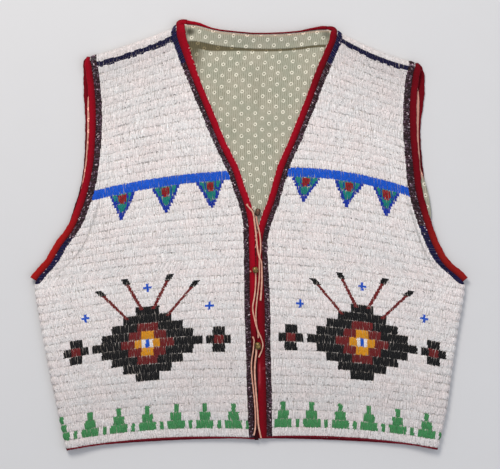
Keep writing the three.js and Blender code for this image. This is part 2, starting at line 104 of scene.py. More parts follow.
def meshPiece(name, points, faces, finish, uv=None, colours=None, smooth=True):
    # points in mm, faces as rows of 3 or 4 corners, uv and colours one for each corner
    faces = np.asarray(faces, np.int32)
    used, flat = np.unique(faces, return_inverse=True)
    points, faces = np.asarray(points, float)[used], flat.reshape(faces.shape)
    mesh = bpy.data.meshes.new(name)
    mesh.vertices.add(len(points))
    mesh.vertices.foreach_set("co", (points * mm).astype(np.float32).ravel())
    mesh.loops.add(faces.size)
    mesh.loops.foreach_set("vertex_index", faces.astype(np.int32).ravel())
    mesh.polygons.add(len(faces))
    mesh.polygons.foreach_set("loop_start", np.arange(0, faces.size, faces.shape[1], dtype=np.int32))
    mesh.polygons.foreach_set("use_smooth", np.full(len(faces), smooth))
    if uv is not None:
        layer = mesh.uv_layers.new(name="beads", do_init=False)
        layer.uv.foreach_set("vector", np.asarray(uv, np.float32).ravel())
    if colours is not None:
        layer = mesh.color_attributes.new(name="tint", type="FLOAT_COLOR", domain="CORNER")
        layer.data.foreach_set("color", np.asarray(colours, np.float32).ravel())
    mesh.update(calc_edges=True)
    mesh.validate()
    mesh.materials.append(finish)
    piece = bpy.data.objects.new(name, mesh)
    scene.collection.objects.link(piece)
    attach(piece, "root")
    return piece


# ---- small tools for finishes
class Wire:
    # a socket with arithmetic: an expression on wires adds its Math nodes
    def __init__(self, socket):
        self.socket = socket

    def math(self, operation, *others):
        tree = self.socket.id_data
        node = tree.nodes.new("ShaderNodeMath")
        node.operation = operation
        for slot, value in zip(node.inputs, (self, *others)):
            if isinstance(value, Wire):
                tree.links.new(value.socket, slot)
            else:
                slot.default_value = value
        return Wire(node.outputs[0])

    def swapped(self, operation, other):
        tree = self.socket.id_data
        node = tree.nodes.new("ShaderNodeMath")
        node.operation = operation
        node.inputs[0].default_value = other
        tree.links.new(self.socket, node.inputs[1])
        return Wire(node.outputs[0])

    def __add__(self, other):
        return self.math("ADD", other)

    def __radd__(self, other):
        return self.math("ADD", other)

    def __sub__(self, other):
        return self.math("SUBTRACT", other)

    def __rsub__(self, other):
        return self.swapped("SUBTRACT", other)

    def __mul__(self, other):
        return self.math("MULTIPLY", other)

    def __rmul__(self, other):
        return self.math("MULTIPLY", other)

    def __truediv__(self, other):
        return self.math("DIVIDE", other)

    def __rtruediv__(self, other):
        return self.swapped("DIVIDE", other)

    def __pow__(self, other):
        return self.math("POWER", other)

    def __abs__(self):
        return self.math("ABSOLUTE")

    def wave(self):
        return self.math("SINE")

    def part(self):
        return self.math("FRACT")

    def whole(self):
        return self.math("FLOOR")

    def nearest(self, step):
        # distance to the nearest multiple of step
        return self.math("PINGPONG", step / 2)


class Finish:
    # a material: node() adds any node, surface() feeds the shader
    def __init__(self, name):
        self.material = bpy.data.materials.new(name)
        self.material.use_nodes = True
        self.tree = self.material.node_tree
        self.shader = self.tree.nodes["Principled BSDF"]

    def node(self, kind, settings=None, inputs=None, output=0):
        made = self.tree.nodes.new("ShaderNode" + kind)
        for key, value in (settings or {}).items():
            if key == "stops":
                stops = made.color_ramp.elements
                while len(stops) < len(value):
                    stops.new(0.5)
                for stop, (place, colour) in zip(stops, value):
                    stop.position = place
                    stop.color = (*colour, 1) if np.ndim(colour) else (colour,) * 3 + (1,)
            else:
                setattr(made, key, value)
        self.feed(made, inputs or {})
        return Wire(made.outputs[output])

    def feed(self, made, inputs):
        for key, value in inputs.items():
            slot = made.inputs[key]
            if isinstance(value, Wire):
                self.tree.links.new(value.socket, slot)
            elif np.ndim(value) and len(value) == 3 and slot.type == "RGBA":
                slot.default_value = (*value, 1)
            else:
                slot.default_value = value

    def surface(self, **inputs):
        self.feed(self.shader, {key.replace("_", " "): value for key, value in inputs.items()})
        return self.material

    def blend(self, factor, first, second, how="MIX"):
        settings = {"data_type": "RGBA", "blend_type": how}
        return self.node("Mix", settings, {0: factor, 6: first, 7: second}, 2)

    def grey(self, value):
        # a number as a colour
        return self.node("CombineXYZ", None, {0: value, 1: value, 2: value})

    def place(self, name="Object"):
        outputs = {"Generated": 0, "UV": 2, "Object": 3}
        return self.node("TexCoord", None, None, outputs[name])

    def axis(self, vector, index):
        return self.node("SeparateXYZ", None, {0: vector}, index)

    def noise(self, vector, scale, detail=2, rough=0.5, output=0):
        inputs = {"Vector": vector, "Scale": scale, "Detail": detail, "Roughness": rough}
        return self.node("TexNoise", None, inputs, output)

    def ramp(self, value, low, high):
        # 0 below low and 1 above high, softly
        settings = {"interpolation_type": "SMOOTHSTEP"}
        return self.node("MapRange", settings, {"Value": value, "From Min": low, "From Max": high})

    def bump(self, height, distance, strength=1.0, normal=None):
        inputs = {"Height": height, "Distance": distance * mm, "Strength": strength}
        if normal is not None:
            inputs["Normal"] = normal
        return self.node("Bump", None, inputs)


# ---- the sizes that the solids have
size = {
    "gap": 0.3, "hide": 2.4, "laneRise": 1.0, "lanes": 47, "pitch": 10.8, "underarm": 20.5,
    "fold": 5.0, "liningWall": 1.0, "edging": 7.5, "bindingRise": 0.6,
    "armholeBinding": 7.0, "hemBinding": 2.4, "sideFall": 46, "shoulderFall": 3,
    "neckLift": 6.5, "neckBand": 21, "stripDepth": 5.6, "stripBulge": 1.6, "backHemRise": 12,
    "backHemTuck": 3,
}
liningRest = size["hide"] + size["gap"]
frontRest = liningRest + size["liningWall"] + 0.4
foldSeat = 2 * size["fold"] + size["gap"] - size["hide"] - frontRest
foldRun = size["fold"] * math.pi / 2  # length round the side fold

# A front by lane, counted from the hem. side: the fold, then the armhole edge; edge: the front
# edge, then the neck edge; bow: how far the lane arches; trim: width of the armhole's bead roll;
# bind: width of the wool on the front edge; behind: how far the back's edge stands out past it.
laneColumns = ("sideX", "sideY", "edgeX", "edgeY", "bow", "trim", "bind", "behind")
leftRows = [
    (0, -236, -276, 7.5, -262, 7, 0, 4.6, 0),
    (5, -247, -225, 5, -207, 7, 0, 6.2, 0),
    (10, -258, -174, 3.5, -151, 7, 0, 6.8, 0),
    (15, -267.5, -123, 1.5, -95, 6, 0, 7.6, 0),
    (20, -276, -72, 1, -40, 6, 0, 7.6, 0),
    (21, -274.8, -59, 0.5, -29, 6, 10, 7.4, 0),
    (23, -256.5, -37, 0, -7, 6, 10.5, 7.8, 0.3),
    (25, -244, -16, -0.5, 15, 5, 10.5, 8, 0.3),
    (27, -228, 6, -5.5, 38, 5, 10.5, 8, 1),
    (29, -218, 28, -13.5, 60.5, 5, 10.5, 8, 3.5),
    (31, -209, 55, -21, 83, 5, 10, 8, 4),
    (34, -202, 88, -37.5, 117, 4, 9, 8, 5),
    (38, -198.5, 130, -57, 164, 3, 9, 8, 6.8),
    (42, -198.5, 173, -76, 210, 0, 9, 8, 6.5),
    (46, -203, 216, -92, 254, -3, 9, 10.2, 2),
    (47, -205, 224.5, -93.2, 263.2, -3, 9, 10.8, 0),
]
rightRows = [
    (0, 244, -275, 22.6, -260, 6, 0, 9.9, 0),
    (5, 255, -224, 22, -204, 6, 0, 10.5, 0),
    (10, 262, -173, 20.6, -148, 6, 0, 9.7, 0),
    (15, 269.5, -122, 20, -92, 6, 0, 9.6, 0),
    (20, 277.8, -71, 17.4, -37, 6, 0, 8.6, 0),
    (21, 276, -60, 16.8, -26, 6, 11, 7.2, 0),
    (23, 252, -38, 17.4, -4, 7, 11, 7.6, 0.3),
    (25, 238.5, -15, 23.2, 18.5, 7, 10.5, 8, 0.3),
    (27, 229, 10, 31.6, 41, 8, 11, 8, 1.5),
    (29, 221.5, 33.5, 38.2, 63, 8, 11, 8, 4.5),
    (31, 215.5, 58, 45.2, 87, 8, 11, 8, 7),
    (34, 212, 89, 60, 121, 5, 10.5, 8, 6),
    (38, 208.5, 129, 78, 166, 2, 10, 8, 6.5),
    (42, 208, 170, 95, 211, -2, 9.5, 8, 9),
    (46, 212, 208, 111.5, 250, -5, 9.5, 8, 6),
    (47, 214.5, 216.5, 113.2, 258, -5, 9, 8, 0),
]
# the crease that follows each armhole: lane, distance in from the side, depth
leftCrease = [
    (20.5, 24, 0), (21.5, 26, 0.5), (23, 30, 0.9), (25, 32.5, 1), (27, 25, 1), (29, 22, 0.7),
    (31, 20, 0),
]
rightCrease = [
    (20.5, 29, 0), (21.6, 24, 0.5), (23, 19.5, 0.9), (25, 16.6, 1), (27, 15.4, 0.9),
    (29, 14.6, 0.6), (31, 14, 0),
]
neckEdge = [
    (-93.5, 272.7), (-79, 272.3), (-67, 271), (-56, 268), (-44.5, 265), (-33, 263),
    (-12, 260.8), (7.5, 259.4), (39, 259.8), (66, 262), (77, 263.8), (91, 265.4),
    (100.5, 265.4), (113.5, 264.8),
]
neckLeft, neckRight = neckEdge[0][0], neckEdge[-1][0]
neckCurve = smoothThrough(neckEdge)


def neckY(x):
    return neckCurve(x)[..., 0]


class Front:
    # a front panel: where its lanes lie, and how high
    def __init__(self, name, side, phase, rows, creaseRows):
        self.name, self.side, self.phase = name, side, phase
        self.outline, self.creaseLine = smoothThrough(rows), smoothThrough(creaseRows)
        self.creaseFrom, self.creaseTo = creaseRows[0][0], creaseRows[-1][0]

    def line(self, lane):
        found = dict(zip(laneColumns, np.moveaxis(self.outline(lane), -1, 0)))
        found["width"] = np.hypot(
            found["edgeX"] - found["sideX"], found["edgeY"] - found["sideY"])
        return found

    def place(self, lane, distance):
        # in plan, a distance in from the side along the lane
        line = self.line(lane)
        across = distance / line["width"]
        x = mix(line["sideX"], line["edgeX"], across)
        y = mix(line["sideY"], line["edgeY"], across) + line["bow"] * arch(np.clip(across, 0, 1))
        return x, y

    def distanceAt(self, lane, x):
        line = self.line(lane)
        return (x - line["sideX"]) / (line["edgeX"] - line["sideX"]) * line["width"]

    def crease(self, lane, distance):
        # 1 along the crease beside the armhole, 0 away from it
        found = self.creaseLine(lane)
        within = (lane > self.creaseFrom) & (lane < self.creaseTo)
        return np.exp(-((distance - found[..., 0]) / 1.5) ** 2) * found[..., 1] * within

    def seat(self, lane, distance):
        # height of the underside: the folds lift it, and it swells softly between them
        line = self.line(lane)
        underarm = size["underarm"]
        atSide = (1 - ease(lane, underarm - 1, underarm + 2)) * (
            1 - ease(distance, size["fold"], size["sideFall"]))
        atShoulder = ease(lane, size["lanes"] - size["shoulderFall"], size["lanes"])
        across = np.clip(distance / line["width"], 0, 1)
        beside = np.exp(-(((distance - line["trim"] - 15) / 9) ** 2))
        trough = 0.9 * beside * ease(lane, underarm - 1, underarm + 1) * (1 - ease(lane, 30, 38))
        wave = 1.3 + 0.5 * np.sin(lane * 0.42 + self.phase) * np.cos(across * 7 + self.phase)
        inside = ease(lane, -1, 4) * (1 - ease(lane, 40, 46))
        swell = wave * np.sin(math.pi * across) ** 0.7 * inside
        return frontRest + foldSeat * np.maximum(atSide, atShoulder) + swell * (1 - trough)

    def runLength(self, lane):
        line = self.line(lane)
        folded = 1 - ease(lane, size["underarm"] - 0.5, size["underarm"] + 0.5)
        start = mix(line["trim"], size["fold"], folded)
        return foldRun + line["width"] - size["edging"] - start

    def surface(self, lane, run, height):
        # run: along the lane from the side seam, round the side fold or over the armhole's
        # bead roll; height: above the panel's underside
        line = self.line(lane)
        folded = 1 - ease(lane, size["underarm"] - 0.5, size["underarm"] + 0.5)
        start = mix(line["trim"], size["fold"], folded)
        turn = np.minimum(run, foldRun) / size["fold"]
        radius = size["fold"] - size["hide"] + height
        flatIn = line["trim"] * np.clip(run / foldRun, 0, 1)
        foldIn = size["fold"] - radius * np.cos(turn)
        foldZ = size["fold"] + size["gap"] + radius * np.sin(turn)
        inFold = run < foldRun
        distance = np.where(inFold, mix(flatIn, foldIn, folded), start + run - foldRun)
        flatZ = self.seat(lane, np.where(inFold, flatIn, distance)) + height
        z = np.where(inFold, mix(flatZ, foldZ, folded), flatZ)
        x, y = self.place(lane, distance)
        return np.stack([x, y, z], -1)

    def over(self, lane, x, height):
        # the point above x on a lane, clear of the side fold
        distance = self.distanceAt(lane, x)
        return np.stack([*self.place(lane, distance), self.seat(lane, distance) + height], -1)


left = Front("left", -1, 0.6, leftRows, leftCrease)
right = Front("right", 1, 2.1, rightRows, rightCrease)
fronts = (left, right)


def seamAcross(x):
    # share of the way across the front's top edge, for each front on its own side
    ends = [front.line(float(size["lanes"])) for front in fronts]
    shares = [(x - end["sideX"]) / (end["edgeX"] - end["sideX"]) for end in ends]
    return np.where(x < 10, *shares)


def seamY(x):
    across = seamAcross(x)
    ends = [front.line(float(size["lanes"])) for front in fronts]
    found = [mix(end["sideY"], end["edgeY"], across) + end["bow"] * arch(np.clip(across, 0, 1))
             for end in ends]
    return np.where(x < 10, *found)


def shoulderY(x):
    across = seamAcross(x)
    corner = np.where(x < 10, 3.2, 0.8) * ease(across, 0.93, 1)
    return seamY(x) + size["stripDepth"] + size["stripBulge"] * arch(np.clip(across, 0, 1)) + corner


def neckRise(x, drop):
    across = np.clip((x - neckLeft) / (neckRight - neckLeft), 0, 1)
    return size["neckLift"] * arch(across) * (1 - ease(drop, 0, size["neckBand"]))


def backEdge(front, lane):
    line = front.line(lane)
    return line["sideX"] + front.side * line["behind"]


def wrap(x, run, height):
    # over a shoulder: on from the seam, round the fold and back underneath
    fold = size["fold"]
    middle = shoulderY(x) - fold
    flat = middle - seamY(x) - size["gap"]
    turn = np.clip((run - flat) / fold, 0, math.pi)
    beyond = np.maximum(run - flat - math.pi * fold, 0)
    y = np.where(run < flat, middle - flat + run, middle + (fold + height) * np.sin(turn) - beyond)
    z = np.where(run < flat, 2 * fold + height, fold + (fold + height) * np.cos(turn))
    return np.stack([x + 0 * run, y, z], -1)


print("frame loaded, camera made")


# ---- thong ties
thong = {
    "diameter": 2.3, "thickness": 0.78, "sides": 10, "step": 1.6, "twist": 0.02,
    "tint": (198, 138, 116), "pale": (220, 168, 144), "worn": (146, 94, 76),
}
thongRoutes = {
    "thong_upper_a": [
        (-2.6, 38.7, 8.7), (0.8, 34.4, 8.9), (4.3, 30.4, 8.6), (6, 25, 8.4), (6.8, 18.5, 8.4),
        (8.2, 8, 8.7), (9.3, -1, 8.7), (10.3, -12, 8.7), (11.4, -21, 9.6), (13.2, -28.5, 11.6),
        (15.7, -34.5, 10.8), (16.4, -42, 8.8), (16.5, -51, 8.7), (16.5, -60, 8.7),
        (16, -70, 8.7), (14.8, -84.7, 8.7),
    ],
    "thong_upper_b": [
        (9.4, 24.2, 7.8), (10.2, 18, 8.2), (11.8, 10.6, 8.6), (13.7, 2, 8.7), (15, -9, 8.7),
        (14.9, -19.5, 8.7), (14, -27.5, 8.7), (13.4, -35, 8.7), (13.4, -44, 8.7),
        (13.3, -55, 8.7), (12.3, -67, 8.7), (10.9, -78, 8.7), (9.8, -88, 8.7), (8.9, -99, 8.7),
        (9, -109.5, 8.7), (10.3, -119.5, 8.7), (11.7, -126.5, 8.7), (12, -133, 8.7),
    ],
    "thong_middle": [
        (8.6, -49, 10.2), (8.8, -55, 9), (8.6, -63, 8.7), (8.1, -71, 8.7), (6.8, -81.5, 8.7),
        (5, -91, 8.7), (5.2, -99, 9), (6.9, -107, 10.8), (8.9, -115.5, 11.6), (11.7, -124, 11.6),
        (15.1, -131.5, 10.4), (17.4, -138.5, 8.9), (17.8, -143.5, 8.7), (16.2, -149.5, 8.7),
        (12.6, -157.8, 8.7),
    ],
    "thong_lower_a": [
        (5, -131.4, 8.7), (6.6, -135.4, 8.8), (6.4, -140, 8.8), (5.7, -147.5, 8.7),
        (4.1, -157.5, 8.7), (3.1, -167.5, 8.7), (3.6, -180, 8.7), (5.4, -197, 8.7),
        (6.9, -211.5, 8.7), (7.8, -223, 8.7), (8.4, -237.5, 8.7), (8.1, -248.5, 8.7),
        (7.2, -254.5, 8.7), (6.1, -258.5, 8.7),
    ],
    "thong_lower_b": [
        (9.6, -146.6, 10.2), (9.3, -153, 9), (8.4, -160, 8.7), (7.6, -168, 8.7),
        (7.4, -178.5, 8.7), (8, -189.5, 8.7), (8.9, -200.5, 8.7), (9.8, -211.5, 8.7),
        (10.7, -223, 8.7), (11.4, -234, 8.7), (12.2, -245, 8.7), (13.8, -254, 8.7),
        (15.7, -262, 8.7),
    ],
}


def closedTube(rings):
    # quads round equal rings of points, and a middle point at each end: points, faces
    count, sides = rings.shape[:2]
    ends = np.stack([rings[0].mean(0), rings[-1].mean(0)])
    points = np.concatenate([rings.reshape(-1, 3), ends])
    i, j = np.meshgrid(np.arange(count - 1), np.arange(sides), indexing="ij")
    k = (j + 1) % sides
    faces = np.stack([i * sides + j, i * sides + k, (i + 1) * sides + k, (i + 1) * sides + j], -1)
    faces = faces.reshape(-1, 4)
    j = np.arange(sides)
    k, first, last = (j + 1) % sides, count * sides, (count - 1) * sides
    caps = [np.stack([k, j, np.full(sides, first)], -1),
            np.stack([last + j, last + k, np.full(sides, first + 1)], -1)]
    triangles = np.concatenate([faces[:, [0, 1, 2]], faces[:, [0, 2, 3]], *caps])
    return points, triangles


def roundTurned(line, up=(0, 0, 1)):
    # directions along a line, to its side and above it
    along = np.gradient(line, axis=0)
    along /= np.linalg.norm(along, axis=1)[:, None]
    beside = np.cross(along, up)
    beside /= np.linalg.norm(beside, axis=1)[:, None]
    return along, beside, np.cross(beside, along)


def evenly(line, step):
    length = np.concatenate([[0], np.cumsum(np.linalg.norm(np.diff(line, axis=0), axis=1))])
    at = np.linspace(0, length[-1], max(2, int(round(length[-1] / step)) + 1))
    return np.stack([np.interp(at, length, line[:, k]) for k in range(3)], -1), at


def thongFinish():
    finish = Finish("tanned thong")
    place = finish.place()
    mottle = finish.noise(place, 260, 4, 0.6)
    grain = finish.noise(place, 1900, 3, 0.7)
    colour = finish.blend(finish.ramp(mottle, 0.35, 0.66), linear(*thong["tint"]), linear(*thong["pale"]))
    colour = finish.blend(finish.ramp(grain, 0.56, 0.75) * 0.5, colour, linear(*thong["worn"]))
    return finish.surface(
        Base_Color=colour, Roughness=0.62 + grain * 0.25,
        Normal=finish.bump(grain * 0.6 + mottle, 0.5, 0.7),
    )


thongMaterial = thongFinish()
ties = {}
for name, route in thongRoutes.items():
    route = np.array(route, float)
    reach = np.concatenate([[0], np.cumsum(np.sqrt(np.linalg.norm(np.diff(route, axis=0), axis=1)))])
    curve = smoothThrough([(at, *point) for at, point in zip(reach, route)])
    middle, at = evenly(curve(np.linspace(0, reach[-1], 400)), thong["step"])
    along, beside, above = roundTurned(middle)
    angle = np.arange(thong["sides"]) * 2 * math.pi / thong["sides"]
    lean = 0.3 * (at * thong["twist"] + route[0, 1])[:, None]
    wide = thong["diameter"] / 2 * (1 + 0.06 * np.sin(at * 0.9 + route[0, 1]))[:, None]
    flat = wide * thong["thickness"]
    u = wide * np.cos(angle) * np.cos(lean) - flat * np.sin(angle) * np.sin(lean)
    v = wide * np.cos(angle) * np.sin(lean) + flat * np.sin(angle) * np.cos(lean)
    rings = middle[:, None] + u[..., None] * beside[:, None] + v[..., None] * above[:, None]
    points, faces = closedTube(rings)
    piece = meshPiece(name.replace("thong", "tie"), points, faces, thongMaterial)
    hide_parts(name)
    ties[name] = (piece, middle, at[-1])
print("thong ties made:", len(thongRoutes))


# ---- beads, sewn on in lanes
beadwork = {
    "pitch": 1.46, "perLane": 8, "groove": 0.52, "low": 2.36, "arch": 0.64, "jitter": 0.08,
    "lean": 1.5, "ragged": 0.035, "speck": 0.016, "endSpeck": 0.06,
    # painted shade by lane: darker towards the hem and the shoulders, where the light falls off
    "falloffShade": [(0, 0.88), (3, 0.85), (9, 0.9), (18, 1), (36, 1), (42, 0.92), (46, 0.86)],
}
palette = {
    "white": (240, 232, 228), "blue": (4, 84, 200), "navy": (14, 10, 56), "deep": (4, 45, 156),
    "teal": (8, 122, 112), "brick": (140, 10, 20), "black": (7, 6, 7), "maroon": (112, 24, 24),
    "yellow": (222, 150, 20), "green": (70, 146, 86), "plum": (40, 15, 22), "smoke": (98, 76, 90),
    "glint": (184, 166, 170),
}
inks = {name: k for k, name in enumerate(palette)}
paletteRows = np.array([linear(*palette[name]) for name in palette])

# hanging triangles below the band: the ends of the top, then the point
pendants = [
    (-178.5, -148.2, -164.7, 18.7), (-124.6, -90.9, -106.4, 27.9), (-66.7, -34.4, -47.3, 33.2),
    (57.3, 91.6, 69.7, 42.6), (112.6, 147.1, 124.9, 35.7), (162, 193.2, 177.6, 24.1),
]
bandLane, seamLane, pendantSteps = 30, 46, 8
seamBeads = {"left": (0, 5), "right": (2, 9)}  # of the seam lane, in beads

# the stepped figure on each front: lane above or below its middle one, then the half widths of
# its colours from the outside in
figure = {
    "middle": {"left": (-131, 11), "right": (146, 11)},
    "steps": [
        (-4, 15, 0, 0, 0), (-3, 31, 0, 0, 0), (-2, 46, 13, 0, 0), (-1, 59, 24, 8, 0),
        (0, 71, 34, 16, 7), (1, 59, 24, 8, 0), (2, 46, 13, 0, 0), (3, 31, 0, 0, 0), (4, 15, 0, 0, 0),
    ],
    "inks": ("black", "maroon", "yellow", "white"),
    "wings": 92, "wingSteps": [(-1, 8, 0), (0, 16, 6), (1, 8, 0)], "wingInks": ("black", "maroon"),
    "forks": [(4.6, 7, 8.6, 30), (3.6, 25, 7.6, 64)], "forkWidth": 2.3,
    "crosses": [(-80, 4.5), (0, 7.2), (80, 4.5)],
}
hemRow = {
    "spacing": 37, "base": 1, "steps": (11, 7, 3), "betweenHalf": 2.4,
    "offset": {"left": -20, "right": 44},
}


def fieldChart(front, lane, x, y):
    # the ink of each bead of one lane: x and y by string and bead
    found = np.full(x.shape, inks["white"])
    if lane == bandLane:
        found[:] = inks["blue"]
    if lane == seamLane:
        steps = chance.integers(0, 2, (len(x) // 3 + 1, 1)).repeat(3, 0)[:len(x)]
        row, (low, high) = np.arange(x.shape[1])[None] + steps, seamBeads[front.name]
        found[(row >= low) & (row < high)] = inks["navy"]
    if lane == seamLane - 1 and not seamBeads[front.name][0]:
        steps = chance.random((len(x) // 2 + 1, 1)).repeat(2, 0)[:len(x), 0]
        found[:, -1] = inks["navy"]
        found[:, -2] = np.where(steps < 0.5, inks["navy"], inks["white"])
    top = front.place(float(bandLane), front.distanceAt(float(bandLane), x))[1]
    if bandLane - 4 < lane < bandLane:
        for low, high, tip, tipY in pendants:
            share = (y - tipY) / (top - tipY)
            stepped = np.ceil(share.clip(0, 1) * pendantSteps) / pendantSteps
            half = stepped * ((high - low) / 2 + 0.8)
            beside = np.abs(x - mix(tip, (low + high) / 2, share))
            inside = (beside < half - 4) & (share > 0.3)
            found[(beside < half) & (share > 0)] = inks["deep"]
            found[inside] = inks["teal"]
            found[inside & (beside > 6.1) & (beside < 7.6)] = inks["deep"]
            found[(beside < 4.9) & (share > 0.62) & (share < 0.97)] = inks["brick"]
            found[(beside > 3) & (beside < 4.9) & (share > 0.62) & (share < 0.7)] = inks["deep"]
            found[(beside < 1.3) & (share > 0.76) & (share < 0.86)] = inks["maroon"]
    drawFigure(found, front, lane, x)
    drawHemRow(found, front, lane, x)
    return found


def drawFigure(found, front, lane, x):
    middleX, middleLane = figure["middle"][front.name]
    row, beside = lane - middleLane, np.abs(x - middleX)
    for step, *halves in figure["steps"]:
        for half, ink in zip(halves, figure["inks"]):
            if row == step and half:
                found[beside < half] = inks[ink]
    if row == 0:
        found[beside < 2.4] = inks["blue"]
    wing = np.abs(beside - figure["wings"])
    for step, *halves in figure["wingSteps"]:
        for half, ink in zip(halves, figure["wingInks"]):
            if row == step and half:
                found[wing < half] = inks[ink]
    bead = np.arange(x.shape[1])
    high = row + (bead[None] + 0.5) / x.shape[1]
    for low, lowX, top, topX in figure["forks"]:
        share = (high - low) / (top - low)
        inside = (share > 0) & (share < 1)
        line = np.abs(beside - mix(lowX, topX, share))
        found[inside & (line < figure["forkWidth"])] = inks["maroon"]
        found[inside & (share > 0.82) & (line < 1.8 * figure["forkWidth"])] = inks["black"]
    for crossX, crossRow in figure["crosses"]:
        offX, offRow = np.abs(x - middleX - crossX), np.abs(high - crossRow)
        found[(offX < 5.2) & (offRow < 0.13) | (offX < 1.6) & (offRow < 0.5)] = inks["blue"]


def drawHemRow(found, front, lane, x):
    spacing = hemRow["spacing"]
    along = (x - hemRow["offset"][front.name]) * -front.side
    nearest = np.abs((along + spacing / 2) % spacing - spacing / 2)
    row = lane - hemRow["base"]
    if 0 <= row < len(hemRow["steps"]):
        found[nearest < hemRow["steps"][row]] = inks["green"]
    if lane == hemRow["base"]:
        found[np.abs(nearest - spacing / 2) < hemRow["betweenHalf"]] = inks["green"]


def drift(x, y, phase):
    # slow waves over the panel, -1 to 1
    along = x * 0.031 + 2 * np.sin(y * 0.027 + phase)
    return np.sin(along) * np.sin(y * 0.043 + 1.7 * np.sin(x * 0.021 + 2 * phase))


def beadColours(chart, x, y):
    # every bead, string and hank differs a little
    shade = 1 + chance.normal(0, 0.085, chart.shape) + chance.normal(0, 0.03, (len(chart), 1))
    shade += 0.02 * drift(x * 1.6, y * 1.6, 0.4)
    warm = 0.02 * drift(x * 2.3, y * 3.1, 1.7) + chance.normal(0, 0.012, chart.shape)
    colour = paletteRows[chart] * shade[..., None]
    colour *= 1 + warm[..., None] * np.array([1, -0.4, -0.6])
    return colour


def addSpecks(colour, chart, x, y):
    # gaps where the thread shows, mostly in runs where two lanes meet
    share = np.full(chart.shape, beadwork["speck"])
    runs = np.clip(0.35 + drift(x * 3, y * 2.2, 3.1) + 0.4 * np.sin(x * 0.9 + y), 0, 1)
    share[:, 0] = (beadwork["endSpeck"] * 7 * runs ** 2)[:, 0]
    share[:, -1] = beadwork["endSpeck"]
    white = chart == inks["white"]
    speck = (chance.random(chart.shape) < share) & white
    colour[speck] *= chance.uniform(0.5, 0.85, (speck.sum(), 1))
    dark = (chance.random(chart.shape) < 0.12 * share) & white
    colour[dark] *= chance.uniform(0.3, 0.55, (dark.sum(), 1))
    # the end beads of each lane are darker, most in the same runs: painted shade where two lanes meet, with
    # some dirt
    colour[:, [0, -1]] *= np.where(white, 1 - 0.07 * runs, 1)[:, [0, -1], None]
    return colour


def beadStrings(points, colours, kept=None, perBead=1, outwards=(0, 0, 1)):
    # points: string, row, (side, crest, side), xyz; colours: string, bead, rgb
    strings, rows = points.shape[:2]
    s, r, h = np.meshgrid(*(np.arange(n) for n in (strings, rows - 1, 2)), indexing="ij")
    corner = (s * rows + r) * 3 + h
    faces = np.stack([corner, corner + 1, corner + 4, corner + 3], -1)
    uv = np.stack([np.stack([h, h + 1, h + 1, h], -1) / 2, np.stack([r, r, r + 1, r + 1], -1) / perBead], -1)
    gloss = chance.random(colours.shape[:2] + (1,))
    colour = np.concatenate([colours.clip(0.001, 1), gloss], -1)[s, r // perBead]
    if kept is not None:
        keep = kept[s, r // perBead]
        faces, uv, colour = faces[keep], uv[keep], colour[keep]
    faces, uv, colour = faces.reshape(-1, 4), uv.reshape(-1, 4, 2), colour.reshape(-1, 4)
    flat = points.reshape(-1, 3)
    normal = np.cross(flat[faces[:, 1]] - flat[faces[:, 0]], flat[faces[:, 3]] - flat[faces[:, 0]])
    if (normal @ np.array(outwards)).sum() < 0:
        faces, uv = faces[:, ::-1], uv[:, ::-1]
    return {"points": flat, "faces": faces, "uv": uv, "colour": np.repeat(colour[:, None], 4, 1)}


def joined(name, parts, finish):
    # one piece from several runs of strings
    offsets = np.cumsum([0] + [len(part["points"]) for part in parts])
    piece = meshPiece(
        name, np.concatenate([part["points"] for part in parts]),
        np.concatenate([part["faces"] + start for part, start in zip(parts, offsets)]), finish,
        np.concatenate([part["uv"] for part in parts]),
        np.concatenate([part["colour"] for part in parts]))
    return piece


def beadFinish():
    finish = Finish("seed beads")
    uv = finish.place("UV")
    across, along = finish.axis(uv, 0) * 2 - 1, (finish.axis(uv, 1).part()) * 2 - 1
    colour = finish.node("Attribute", {"attribute_name": "tint"})
    gloss = finish.node("Attribute", {"attribute_name": "tint"}, None, 3)
    beside, end = abs(across), abs(along)
    # darker between strings and between beads: painted shade in the grooves, with the thread and hide that
    # show there
    gap = (beside ** 4) * (0.2 + gloss * 0.5) + (end ** 6) * 0.28
    shade = finish.grey(1 - gap)
    swell = (1 - along * along * 0.92) ** 0.5
    return finish.surface(
        Base_Color=finish.blend(1.0, colour, shade, "MULTIPLY"), Specular_IOR_Level=0.24,
        Roughness=0.3 + gloss * 0.22 + gap * 0.5,
        Normal=finish.bump(swell, 0.5, 0.8),
    )


beadMaterial = beadFinish()
sides = np.array([-1.0, 0.0, 1.0])
rowShares = np.linspace(0, 1, beadwork["perLane"] + 1)


